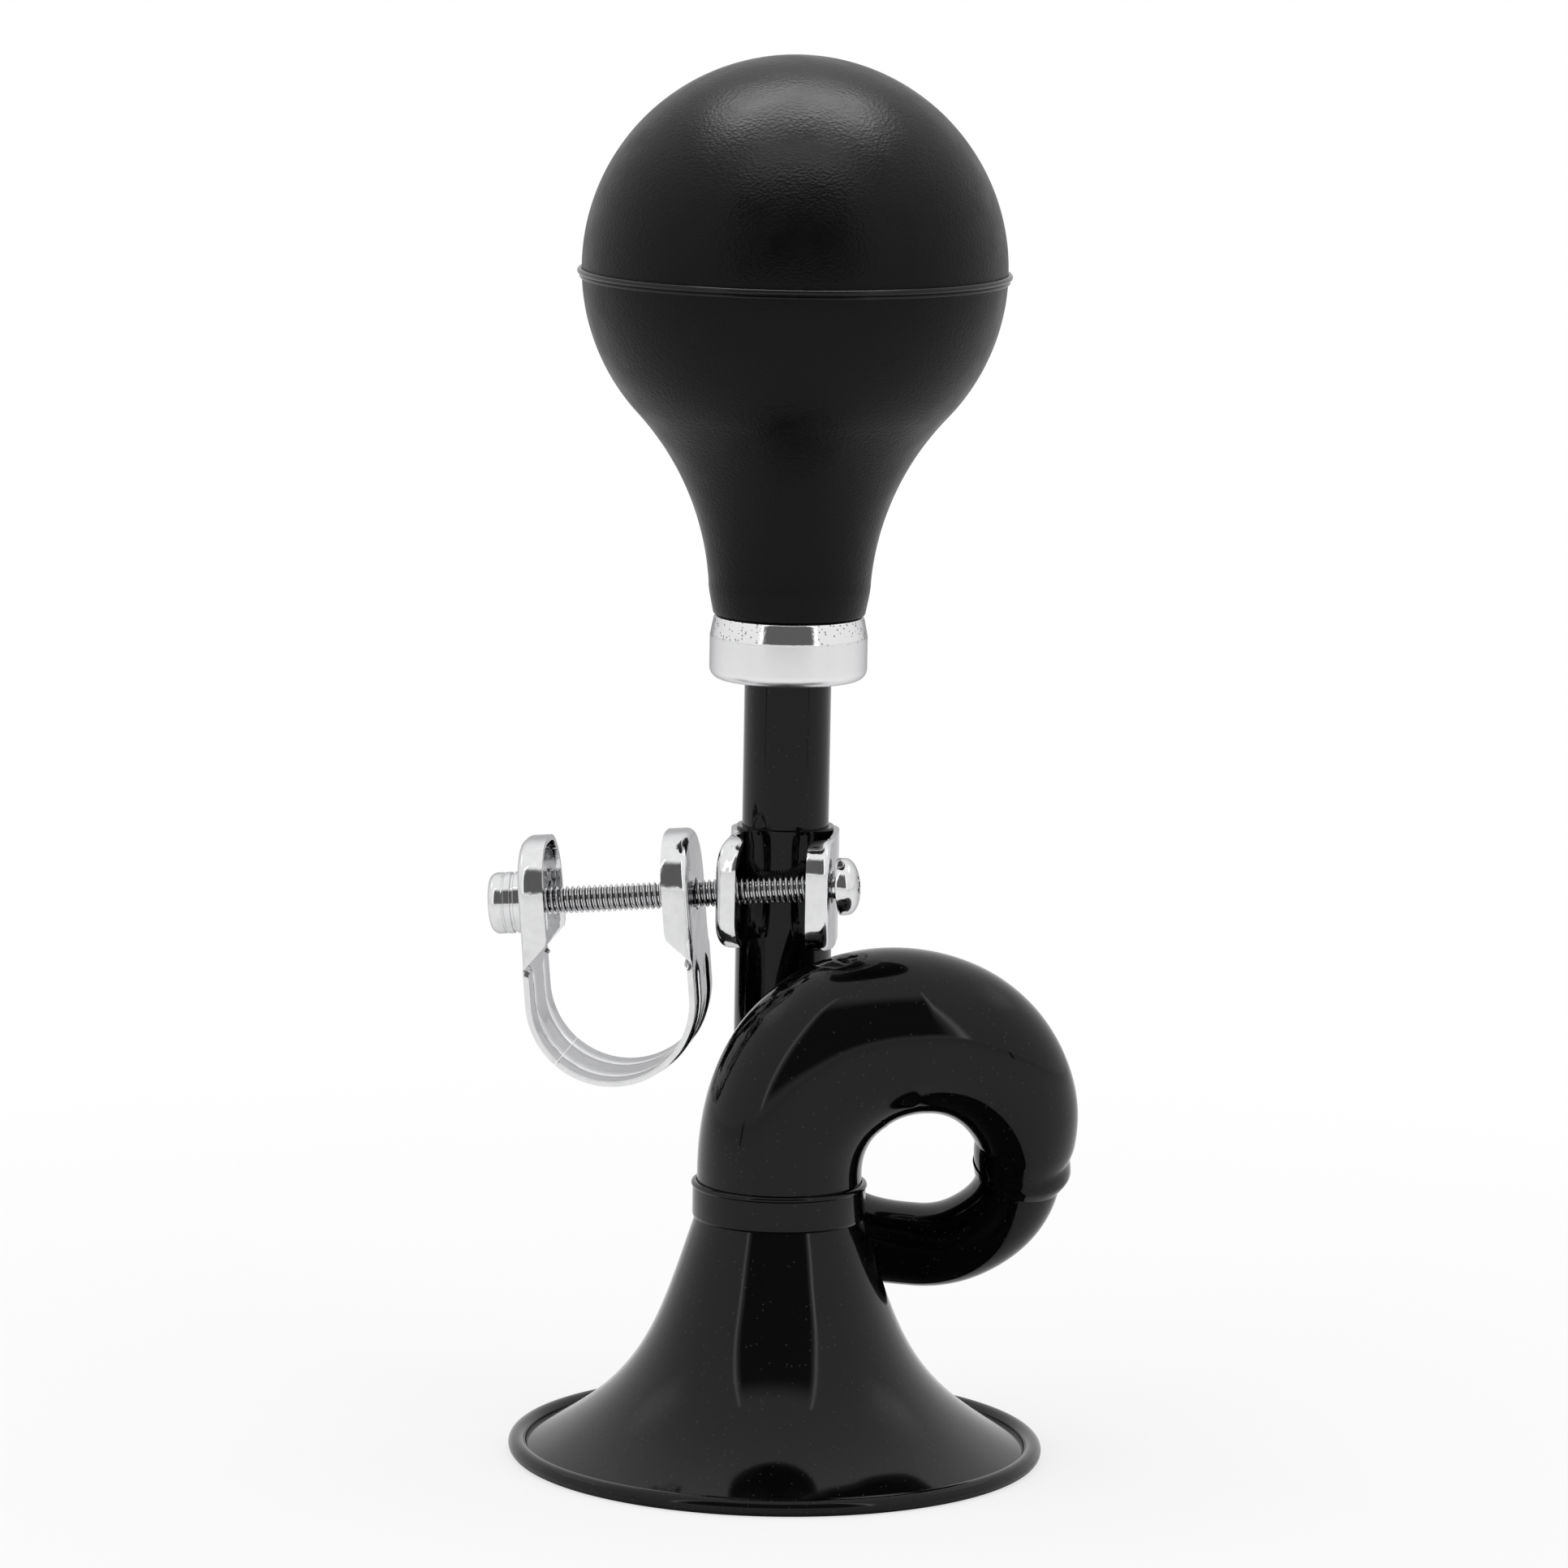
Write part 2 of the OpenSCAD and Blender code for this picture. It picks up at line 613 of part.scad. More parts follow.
// Straight leg and cupped ear on the side of the strap towards the stem
module strap_side(slot) {
    difference() {
        union() {
            translate([0, 0, -bar_drop]) linear_extrude(bar_drop - cup_foot + eps) strap_section();
            translate([strap_r, 0, 0]) rotate([0, -90, 0])
                cupped_ear(-cup_foot - eps, cup_rise, strap_w, cup_corner, cup_rim, strap_t, -cup_foot);
        }
        for (rise = [0, slot])
            translate([0, 0, rise]) rotate([0, 90, 0]) cylinder(r = hole_r, h = 2 * strap_r);
    }
}

// Strap from the ear next to the stem round under the handlebar
module strap_inner_half() {
    color("#dcdee0") on_strap() {
        strap_side(0);
        mirror([1, 0, 0]) strap_loop(180, 540 - hinge_angle - asin(hinge_gap / strap_r) / 2);
    }
}

// Strap from under the handlebar up to the ear under the nut, with a tall hole for its tilt
module strap_outer_half() {
    color("#dcdee0") on_strap() {
        mirror([1, 0, 0]) strap_side(-oval_hole);
        strap_loop(180, hinge_angle - asin(hinge_gap / strap_r) / 2);
    }
}

bell();
rim_wire();
upper_bend();
lower_bend();
stem_tube();
collar();
reed_bush();
reed_tube();
reed_tongue();
reed_wedge();
bulb_neck();
bulb_skirt();
bulb_dome();
seam_ring();
stem_clip();
clamp_screw();
cap_nut();
strap_inner_half();
strap_outer_half();
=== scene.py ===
# A bicycle bulb horn standing on its bell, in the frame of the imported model. Metres; +Z is up.
import math
import bpy
from mathutils import Matrix, Vector


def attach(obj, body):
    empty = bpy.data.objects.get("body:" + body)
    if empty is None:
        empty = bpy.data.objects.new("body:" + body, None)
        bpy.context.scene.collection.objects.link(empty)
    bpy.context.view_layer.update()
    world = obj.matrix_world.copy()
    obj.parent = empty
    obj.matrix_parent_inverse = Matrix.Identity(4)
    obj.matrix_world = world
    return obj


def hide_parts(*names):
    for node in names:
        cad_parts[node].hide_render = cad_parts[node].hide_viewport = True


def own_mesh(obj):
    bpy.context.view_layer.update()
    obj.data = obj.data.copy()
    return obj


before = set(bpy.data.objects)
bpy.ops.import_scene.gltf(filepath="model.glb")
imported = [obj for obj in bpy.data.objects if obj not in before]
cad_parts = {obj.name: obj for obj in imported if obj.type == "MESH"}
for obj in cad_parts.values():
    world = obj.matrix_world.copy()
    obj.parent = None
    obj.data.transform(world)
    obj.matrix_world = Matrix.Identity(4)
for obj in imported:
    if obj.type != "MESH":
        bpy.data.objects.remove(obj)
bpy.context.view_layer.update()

# Studio
# White sweep in a bright room, with a dark opening behind the camera between two thin light strips.
# A softbox hangs over the back, and two small ones light only the bulb. The lens is long and rolled
# by a degree, and its focal length and shift are in the photo's pixels.
PHOTO_PX, FOCAL_PX, SHIFT_PX = 1932, 9355.4, 2.64
TILT_DOWN, ROLL = 8.9817, 1.0067
CAMERA_Y, CAMERA_Z = -1.056, 0.26339
SENSOR_MM = 36
camera_data = bpy.data.cameras.new("studio_camera")
camera = bpy.data.objects.new("studio_camera", camera_data)
bpy.context.scene.collection.objects.link(camera)
camera_data.sensor_width = SENSOR_MM
camera_data.lens = SENSOR_MM * FOCAL_PX / PHOTO_PX
camera_data.shift_x = -SHIFT_PX / PHOTO_PX
camera_data.clip_start = 0.05
camera_data.clip_end = 20
look = Matrix.Rotation(math.radians(90 - TILT_DOWN), 4, "X") @ Matrix.Rotation(math.radians(ROLL), 4, "Z")
camera.matrix_world = Matrix.Translation((0, CAMERA_Y, CAMERA_Z)) @ look
scene = bpy.context.scene
scene.camera = camera
scene.view_settings.view_transform = "Standard"


def softbox(name, place, width, depth, strength, only_on=None):
    """A flat lamp that faces down. One that lights only some pieces also shows in their gloss."""
    lamp = bpy.data.lights.new(name, "AREA")
    lamp.shape = "RECTANGLE"
    lamp.size, lamp.size_y = width, depth
    lamp.energy = strength * width * depth * math.pi
    box = bpy.data.objects.new(name, lamp)
    scene.collection.objects.link(box)
    box.location = place
    box.visible_glossy = only_on is not None
    box.visible_camera = False
    box.light_linking.receiver_collection = only_on


BULB_BOX_Z = 0.30
bulb_lit = bpy.data.collections.new("bulb_lit")
softbox("overhead_box", (0, 0.1, 1.1), width=0.9, depth=0.6, strength=1.8)
softbox("bulb_box_back", (0, 0.036, BULB_BOX_Z), width=0.145, depth=0.064, strength=9.5, only_on=bulb_lit)
softbox("bulb_box_front", (0, -0.056, BULB_BOX_Z), width=0.13, depth=0.034, strength=4.5, only_on=bulb_lit)

# Two low dark stands, left and right in front of the horn, mirrored faintly by the stem and the coil
STAND_X, STAND_Y, STAND_R, STAND_H = 0.62, -0.36, 0.012, 0.06
stand_paint = bpy.data.materials.new("stand_black")
stand_paint.use_nodes = True
stand_paint.node_tree.nodes["Principled BSDF"].inputs["Base Color"].default_value = (0.01, 0.01, 0.01, 1)
for side in (-1, 1):
    bpy.ops.object.select_all(action="DESELECT")
    bpy.ops.mesh.primitive_cylinder_add(vertices=16, radius=STAND_R, depth=STAND_H,
                                        location=(side * STAND_X, STAND_Y, STAND_H / 2))
    stand = bpy.context.object
    stand.name = "lamp_stand"
    stand.visible_camera = False
    stand.data.materials.append(stand_paint)


def worked(tree, kind, a, b=None):
    """One step of arithmetic on sockets or plain numbers."""
    step = tree.nodes.new("ShaderNodeMath")
    step.operation = kind
    for socket, value in zip(step.inputs, (a, b)):
        if isinstance(value, (int, float)):
            socket.default_value = value
        elif value is not None:
            tree.links.new(value, socket)
    return step.outputs[0]


def stepped(tree, value, low, high, start=0.0, stop=1.0):
    """Smooth change from start to stop while the value goes from low to high."""
    span = tree.nodes.new("ShaderNodeMapRange")
    span.interpolation_type = "SMOOTHSTEP"
    for label, number in (("From Min", low), ("From Max", high), ("To Min", start), ("To Max", stop)):
        span.inputs[label].default_value = number
    tree.links.new(value, span.inputs["Value"])
    return span.outputs[0]


def pane(tree, across, left, right, up, bottom, top, soft):
    """Mask that is 1 inside a pane with soft edges."""
    mask = stepped(tree, across, left - soft, left + soft)
    for value, low, high, start, stop in ((across, right - soft, right + soft, 1, 0),
                                          (up, bottom - soft, bottom + soft, 0, 1),
                                          (up, top - soft, top + soft, 1, 0)):
        mask = worked(tree, "MULTIPLY", mask, stepped(tree, value, low, high, start, stop))
    return mask


def laid_over(tree, under, mask, level):
    """What is under, changed to the given level where the mask is 1."""
    blend = tree.nodes.new("ShaderNodeMix")
    for socket, value in zip(blend.inputs[:4], (mask, None, under, level)):
        if isinstance(value, (int, float)):
            socket.default_value = value
        elif value is not None:
            tree.links.new(value, socket)
    return blend.outputs[0]


# The opening and the strips are placed in degrees, round from the camera's side and above the horizon.
# Two panes of light lie on the ceiling, placed in ceiling heights. A level is a strength of light.
OPENING_HALF, OPENING_FOOT, OPENING_TOP, OPENING_LEVEL = 38, 4, 80, 0.11
STRIP_NEAR, STRIP_FAR, STRIP_FOOT, STRIP_TOP = 40.5, 43, 2, 62
LEFT_STRIP_LEVEL, RIGHT_STRIP_LEVEL = 2.3, 2.8
PANE_OUT, PANE_HALF, PANE_NEAR, PANE_FAR, PANE_LEVEL = 1.15, 0.25, 0.1, 0.8, 1.3
world = bpy.data.worlds.new("studio_world")
scene.world = world
world.use_nodes = True
tree = world.node_tree
tree.nodes.clear()
direction = tree.nodes.new("ShaderNodeTexCoord")
split = tree.nodes.new("ShaderNodeSeparateXYZ")
tree.links.new(direction.outputs["Generated"], split.inputs[0])
x, y, z = split.outputs
bearing = worked(tree, "DEGREES", worked(tree, "ARCTAN2", x, worked(tree, "MULTIPLY", y, -1)))
height = worked(tree, "DEGREES", worked(tree, "ARCSINE", z))
over = worked(tree, "MAXIMUM", z, 0.05)
ceiling_x = worked(tree, "DIVIDE", x, over)
ceiling_y = worked(tree, "DIVIDE", y, over)
room = stepped(tree, height, 0, 60, start=0.85, stop=0.95)
opening = pane(tree, bearing, -OPENING_HALF, OPENING_HALF, height, OPENING_FOOT, OPENING_TOP, soft=2.5)
fading = stepped(tree, height, 48, 61, start=1, stop=0)
room = laid_over(tree, room, worked(tree, "MULTIPLY", opening, fading), OPENING_LEVEL)
left_strip = pane(tree, bearing, -STRIP_FAR, -STRIP_NEAR, height, STRIP_FOOT, STRIP_TOP, soft=1)
room = laid_over(tree, room, left_strip, LEFT_STRIP_LEVEL)
right_strip = pane(tree, bearing, STRIP_NEAR, STRIP_FAR, height, STRIP_FOOT, STRIP_TOP, soft=1)
room = laid_over(tree, room, right_strip, RIGHT_STRIP_LEVEL)
for middle in (-PANE_OUT, PANE_OUT):
    ceiling_pane = pane(tree, ceiling_x, middle - PANE_HALF, middle + PANE_HALF,
                        ceiling_y, PANE_NEAR, PANE_FAR, soft=0.25)
    room = laid_over(tree, room, ceiling_pane, PANE_LEVEL)

# The camera itself sees plain white all round
sky = tree.nodes.new("ShaderNodeBackground")
tree.links.new(room, sky.inputs["Strength"])
white = tree.nodes.new("ShaderNodeBackground")
for shade in (sky, white):
    shade.inputs["Color"].default_value = (1, 1, 1, 1)
path = tree.nodes.new("ShaderNodeLightPath")
mix = tree.nodes.new("ShaderNodeMixShader")
out = tree.nodes.new("ShaderNodeOutputWorld")
tree.links.new(path.outputs["Is Camera Ray"], mix.inputs[0])
tree.links.new(sky.outputs[0], mix.inputs[1])
tree.links.new(white.outputs[0], mix.inputs[2])
tree.links.new(mix.outputs[0], out.inputs[0])

# The floor is matt. Seen by the camera it glows, partly beside the horn and wholly further off
FLOOR_SIZE, FLOOR_WHITE = 30, 0.85
GLOW_FROM, GLOW_TO, GLOW_SHARE = 0.08, 0.34, 0.7
bpy.ops.object.select_all(action="DESELECT")
bpy.ops.mesh.primitive_plane_add(size=FLOOR_SIZE, location=(0, 0, 0))
floor = bpy.context.object
floor.name = "studio_floor"
floor_paint = bpy.data.materials.new("floor_white")
floor_paint.use_nodes = True
tree = floor_paint.node_tree
tree.nodes.clear()
coords = tree.nodes.new("ShaderNodeTexCoord")
far = tree.nodes.new("ShaderNodeVectorMath")
far.operation = "LENGTH"
tree.links.new(coords.outputs["Object"], far.inputs[0])
matt = tree.nodes.new("ShaderNodeBsdfDiffuse")
matt.inputs["Color"].default_value = (FLOOR_WHITE, FLOOR_WHITE, FLOOR_WHITE, 1)
glow = tree.nodes.new("ShaderNodeEmission")
glow.inputs["Strength"].default_value = 1
path = tree.nodes.new("ShaderNodeLightPath")
glowing = stepped(tree, far.outputs["Value"], GLOW_FROM, GLOW_TO, start=GLOW_SHARE, stop=1)
share = worked(tree, "MULTIPLY", path.outputs["Is Camera Ray"], glowing)
mix = tree.nodes.new("ShaderNodeMixShader")
out = tree.nodes.new("ShaderNodeOutputMaterial")
tree.links.new(share, mix.inputs[0])
tree.links.new(matt.outputs[0], mix.inputs[1])
tree.links.new(glow.outputs[0], mix.inputs[2])
tree.links.new(mix.outputs[0], out.inputs[0])
floor.data.materials.append(floor_paint)

# Bell
# Flared bell of 0.5 mm sheet, spun to shape, its rim rolled over a wire and its neck drawn into a
# socket for the tube. Dipped in black enamel, which runs a little and takes up fine dust.
SHEET = 0.5
BELL_R, BEAD_R, RIM_FLAT = 38.0, 1.25, 0.45
BEAD_Z = math.sqrt(BEAD_R ** 2 - RIM_FLAT ** 2)
FLARE_TOP, THROAT_R = 34.3, 11.95
SOCKET_R, SOCKET_RISE, SOCKET_LIP = 12.3, 4.8, 0.45
SOCKET_TOP = FLARE_TOP + SHEET + SOCKET_RISE
CONE_SHARE, FLARE_POWER, FLARE_STEPS = 0.45, 4.3, 60
# Sizes and places are in millimetres from here on, and MM brings them to metres
MM = 0.001
MERGE_GAP = 0.002 * MM


def turned(name, outline, steps=128, centre_y=0.0):
    """A closed outline of (radius, height) in millimetres, spun round a vertical axis."""
    bpy.ops.object.select_all(action="DESELECT")
    bpy.ops.mesh.primitive_plane_add(size=0.01, location=(0, 0, 0))
    piece = bpy.context.object
    piece.name = name
    bpy.ops.object.mode_set(mode="EDIT")
    bpy.ops.mesh.select_all(action="SELECT")
    bpy.ops.mesh.merge(type="CENTER")
    last = outline[0]
    bpy.ops.transform.translate(value=(last[0] * MM, centre_y, last[1] * MM))
    for point in list(outline[1:]) + [outline[0]]:
        move = ((point[0] - last[0]) * MM, 0, (point[1] - last[1]) * MM)
        bpy.ops.mesh.extrude_region_move(TRANSFORM_OT_translate={"value": move})
        last = point
    bpy.ops.mesh.select_all(action="SELECT")
    bpy.ops.mesh.spin(steps=steps, angle=2 * math.pi, center=(0, centre_y, 0), axis=(0, 0, 1))
    bpy.ops.mesh.select_all(action="SELECT")
    bpy.ops.mesh.remove_doubles(threshold=MERGE_GAP)
    bpy.ops.mesh.normals_make_consistent(inside=False)
    bpy.ops.object.mode_set(mode="OBJECT")
    bpy.ops.object.shade_smooth_by_angle(angle=math.radians(32))
    return piece


def arc(centre, radius, start, stop, count):
    """Points round a centre, from one angle in degrees to another."""
    steps = [math.radians(start + (stop - start) * i / count) for i in range(count + 1)]
    return [(centre[0] + radius * math.cos(t), centre[1] + radius * math.sin(t)) for t in steps]


def flare(t):
    """The flare's outer side, from the throat at 0 to the rim at 1."""
    foot_r, foot_z = BELL_R - 2 * BEAD_R - 0.05, SHEET + 0.95
    rise = CONE_SHARE * t + (1 - CONE_SHARE) * t ** FLARE_POWER
    return (THROAT_R + (foot_r - THROAT_R) * rise, FLARE_TOP + (foot_z - FLARE_TOP) * t)


def flare_inside(t):
    """The flare's inner side, one sheet away from the outer one."""
    near = 0.001
    a, b = flare(t + near), flare(t - near)
    run = math.hypot(a[0] - b[0], a[1] - b[1])
    return (flare(t)[0] + SHEET * (a[1] - b[1]) / run, flare(t)[1] - SHEET * (a[0] - b[0]) / run)


def node_group(name, inputs, outputs):
    """An empty shader node group with its sockets, and Object coordinates inside it."""
    group = bpy.data.node_groups.new(name, "ShaderNodeTree")
    for label, value in inputs:
        socket = group.interface.new_socket(label, in_out="INPUT", socket_type="NodeSocketFloat")
        socket.default_value = value
    for label, kind in outputs:
        group.interface.new_socket(label, in_out="OUTPUT", socket_type=kind)
    start = group.nodes.new("NodeGroupInput")
    end = group.nodes.new("NodeGroupOutput")
    coords = group.nodes.new("ShaderNodeTexCoord")
    return group, start, end, coords


# Dust specks caught in a coat, or pits in a metal: a mask of small dots, in about half of its cells
dust_group, dust_in, dust_out, coords = node_group(
    "dust_specks", [("Scale", 900), ("Size", 0.16)], [("Mask", "NodeSocketFloat")])
cells = dust_group.nodes.new("ShaderNodeTexVoronoi")
cells.inputs["Randomness"].default_value = 1
dot = dust_group.nodes.new("ShaderNodeMath")
dot.operation = "LESS_THAN"
pick = dust_group.nodes.new("ShaderNodeSeparateColor")
few = dust_group.nodes.new("ShaderNodeMath")
few.operation = "GREATER_THAN"
few.inputs[1].default_value = 0.55
both = dust_group.nodes.new("ShaderNodeMath")
both.operation = "MULTIPLY"
dust_group.links.new(coords.outputs["Object"], cells.inputs["Vector"])
dust_group.links.new(dust_in.outputs["Scale"], cells.inputs["Scale"])
dust_group.links.new(cells.outputs["Distance"], dot.inputs[0])
dust_group.links.new(dust_in.outputs["Size"], dot.inputs[1])
dust_group.links.new(cells.outputs["Color"], pick.inputs[0])
dust_group.links.new(pick.outputs[0], few.inputs[0])
dust_group.links.new(dot.outputs[0], both.inputs[0])
dust_group.links.new(few.outputs[0], both.inputs[1])
dust_group.links.new(both.outputs[0], dust_out.inputs["Mask"])

# Slow waves in a surface, such as enamel that ran or sheet that was hammered
wave_group, wave_in, wave_out, coords = node_group(
    "slow_waves", [("Scale", 90), ("Detail", 2)], [("Height", "NodeSocketFloat")])
waves = wave_group.nodes.new("ShaderNodeTexNoise")
wave_group.links.new(coords.outputs["Object"], waves.inputs["Vector"])
wave_group.links.new(wave_in.outputs["Scale"], waves.inputs["Scale"])
wave_group.links.new(wave_in.outputs["Detail"], waves.inputs["Detail"])
wave_group.links.new(waves.outputs["Fac"], wave_out.inputs["Height"])


def new_paint(name, colour, metallic, roughness):
    paint = bpy.data.materials.new(name)
    paint.use_nodes = True
    shader = paint.node_tree.nodes["Principled BSDF"]
    shader.inputs["Base Color"].default_value = (*colour, 1)
    shader.inputs["Metallic"].default_value = metallic
    shader.inputs["Roughness"].default_value = roughness
    return paint, paint.node_tree, shader


def placed_group(tree, group, **values):
    box = tree.nodes.new("ShaderNodeGroup")
    box.node_tree = group
    for label, value in values.items():
        box.inputs[label].default_value = value
    return box


def ranged(tree, source, low, high, start=0.3, stop=0.7):
    """Spreads waves, most of which lie between start and stop, from low to high."""
    span = tree.nodes.new("ShaderNodeMapRange")
    span.inputs["From Min"].default_value = start
    span.inputs["From Max"].default_value = stop
    span.inputs["To Min"].default_value = low
    span.inputs["To Max"].default_value = high
    tree.links.new(source, span.inputs["Value"])
    return span.outputs[0]


def bumped(tree, height, strength, distance, under=None):
    """A normal from a height, with the distance in metres, laid over another normal if one is given."""
    bump = tree.nodes.new("ShaderNodeBump")
    bump.inputs["Strength"].default_value = strength
    bump.inputs["Distance"].default_value = distance
    tree.links.new(height, bump.inputs["Height"])
    if under is not None:
        tree.links.new(under, bump.inputs["Normal"])
    return bump.outputs[0]


def tinted(tree, mask, plain, marked):
    """The plain colour where the mask is 0 and the marked one where it is 1."""
    blend = tree.nodes.new("ShaderNodeMix")
    blend.data_type = "RGBA"
    blend.inputs[6].default_value = (*plain, 1)
    blend.inputs[7].default_value = (*marked, 1)
    tree.links.new(mask, blend.inputs[0])
    return blend.outputs[2]


enamel, tree, shader = new_paint("black_enamel", (0.003, 0.003, 0.0032), metallic=0, roughness=0.06)
shader.inputs["Specular IOR Level"].default_value = 0.26
dust = placed_group(tree, dust_group, Scale=1200, Size=0.14)
tree.links.new(tinted(tree, dust.outputs[0], (0.002, 0.002, 0.0022), (0.03, 0.03, 0.031)),
               shader.inputs["Base Color"])
film = placed_group(tree, wave_group, Scale=140, Detail=4)
tree.links.new(ranged(tree, film.outputs[0], 0.04, 0.10), shader.inputs["Roughness"])
runs = placed_group(tree, wave_group, Scale=60, Detail=1)
soft = bumped(tree, runs.outputs[0], strength=0.12, distance=0.002)
specks = bumped(tree, dust.outputs[0], strength=0.25, distance=0.00006, under=soft)
tree.links.new(specks, shader.inputs["Normal"])

bead_centre = (BELL_R - BEAD_R, BEAD_Z)
foot = math.degrees(math.acos(RIM_FLAT / BEAD_R))
outline = [(SOCKET_R - SHEET, SOCKET_TOP)]
outline += arc((SOCKET_R - 0.25, SOCKET_TOP - SOCKET_LIP), SOCKET_LIP, 90, -56, 8)
outline += [(SOCKET_R - inward, FLARE_TOP + rise) for inward, rise in ((0, 0.7), (0.03, 0.4), (0.12, 0.18))]
outline += [flare(i / FLARE_STEPS) for i in range(FLARE_STEPS + 1)]
outline += arc(bead_centre, BEAD_R, 190, -foot, 32)
outline += arc(bead_centre, BEAD_R, foot - 180, -148, 3)
outline += [flare_inside(i / FLARE_STEPS) for i in range(FLARE_STEPS, 0, -1)]
outline += [(THROAT_R - SHEET, FLARE_TOP), (THROAT_R - SHEET, FLARE_TOP + SHEET),
            (SOCKET_R - SHEET, FLARE_TOP + SHEET)]
bell = turned("enamelled_bell", outline, steps=160)
bell.data.materials.append(enamel)
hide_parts("bell")
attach(bell, "horn")

# Rim wire
# Soft iron wire, bent into a ring, that the bell's rim is rolled over. It is wholly inside the bead,
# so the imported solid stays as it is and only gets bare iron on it.
iron, tree, shader = new_paint("bare_iron", (0.42, 0.41, 0.4), metallic=1, roughness=0.45)
rust = placed_group(tree, wave_group, Scale=400, Detail=6)
tree.links.new(tinted(tree, rust.outputs[0], (0.36, 0.35, 0.34), (0.5, 0.48, 0.46)),
               shader.inputs["Base Color"])
rim_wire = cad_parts["rim_wire"]
rim_wire.data.materials.clear()
rim_wire.data.materials.append(iron)

# Coil
# Two pressed bends, brazed into one turn: the upper one swells from the sleeve to the neck, the
# lower one is pinched where it passes behind. Both are drawn sheet, 0.65 mm thick, under enamel.
WALL = 0.65
EYE_R, EYE_X, EYE_Z = 8.2, 19.95, 41.0
STEM_BACK, LEG_R, LEG_TOP, NECK_R, PINCH_R = 19.62, 6.92, 87.5, 11.75, 6.0
SLEEVE_R, SLEEVE_D, SLEEVE_DEEPER, SLEEVE_TAPER, INTO_SLEEVE = 6.7, 14.6, 0.2, 1.6, 0.4
FULLER, SLIMMER, INSIDE_SOLID = 0.3, 0.3, 0.05
SHOULDER_R, SHOULDER_POWER = 12.8, 1.35
UPPER_SIDES, LOWER_SIDES = 64, 56
# Places along the turn are degrees round the eye: the leg's foot, where the bends meet, where the upper
# one starts to widen, its shoulder, and the bell's neck
LEG_AT, MEET_AT, WIDEN_AT, SHOULDER_AT, NECK_AT = 180, 358, 360, 484, 540
WIDEN_OVER = 95


def ease(a, b, v):
    """Smooth change from 0 at a to 1 at b."""
    return (1 - math.cos(math.pi * min(max((v - a) / (b - a), 0), 1))) / 2


def coil(a, reach):
    """A place at an angle round the eye and a reach from it. The turn comes forward as it goes on."""
    turn = math.radians(a)
    back = STEM_BACK * (1 - ease(205, 500, a))
    return Vector((EYE_X + reach * math.cos(turn), back, EYE_Z + reach * math.sin(turn)))


def upper_radius(a):
    """Half the upper bend's size from front to back."""
    return SLEEVE_R + (NECK_R - SLEEVE_R) * min(max((a - WIDEN_AT) / WIDEN_OVER, 0), 1)


def upper_height(a):
    """Half the upper bend's size away from the eye."""
    if a < SHOULDER_AT:
        left = 1 - max(a - WIDEN_AT, 0) / (SHOULDER_AT - WIDEN_AT)
        return SLEEVE_R + (SHOULDER_R - SLEEVE_R) * (1 - left ** SHOULDER_POWER)
    return SHOULDER_R - (SHOULDER_R - NECK_R) * ease(SHOULDER_AT, NECK_AT, a)


def swell(a):
    """The sleeve's fuller outer side, which runs out towards the elbow."""
    return FULLER * (1 - ease(356, 374, a))


def slim(a):
    """The outer side of the turn lies a little nearer the eye beside the sleeve."""
    return SLIMMER * ease(352, 372, a) * (1 - ease(395, 440, a))


def upper_centre(a):
    reach = SLEEVE_D + (EYE_R + upper_height(a) - SLEEVE_D) * ease(MEET_AT, 376, a)
    return coil(a, reach + swell(a) - slim(a))


def lower_centre(a):
    """The lower bend draws in to the eye, and out again a little on its way into the sleeve."""
    reach = EYE_X + (EYE_R + PINCH_R - EYE_X) * ease(LEG_AT, 270, a)
    return coil(a, reach + INTO_SLEEVE * ease(300, 342, a))


def tube_ring(centre, run, a, inward, outward, sides):
    """An oval ring across the run: inward is its half size in the turn's plane, outward across it."""
    turn = math.radians(a)
    side = run.cross(Vector((math.cos(turn), 0, math.sin(turn)))).normalized()
    lift = side.cross(run)
    corners = [2 * math.pi * i / sides for i in range(sides + 1)]
    return [centre + inward * math.cos(t) * lift + outward * math.sin(t) * side for t in corners]


def rolled_tube(name, rings, wall):
    """A flat grid rolled up into a tube through the given rings, closed along its seam, then thickened."""
    sides, length = len(rings[0]) - 1, len(rings) - 1
    bpy.ops.object.select_all(action="DESELECT")
    bpy.ops.mesh.primitive_grid_add(x_subdivisions=sides, y_subdivisions=length, size=1)
    tube = bpy.context.object
    tube.name = name
    for j, row in enumerate(rings):
        for i, point in enumerate(row):
            tube.data.vertices[j * (sides + 1) + i].co = point * MM
    bpy.ops.object.mode_set(mode="EDIT")
    bpy.ops.mesh.select_all(action="SELECT")
    bpy.ops.mesh.remove_doubles(threshold=MERGE_GAP)
    bpy.ops.object.mode_set(mode="OBJECT")
    middle = sum((Vector(p) for p in rings[length // 2][:-1]), Vector()) / sides * MM
    spot = min(tube.data.polygons, key=lambda f: (f.center - middle).length)
    if spot.normal.dot(spot.center - middle) < 0:
        tube.data.flip_normals()
    thick = tube.modifiers.new("wall", "SOLIDIFY")
    thick.thickness = wall * MM
    thick.offset = -1
    bpy.ops.object.modifier_apply(modifier="wall")
    bpy.ops.object.shade_smooth_by_angle(angle=math.radians(40))
    return tube


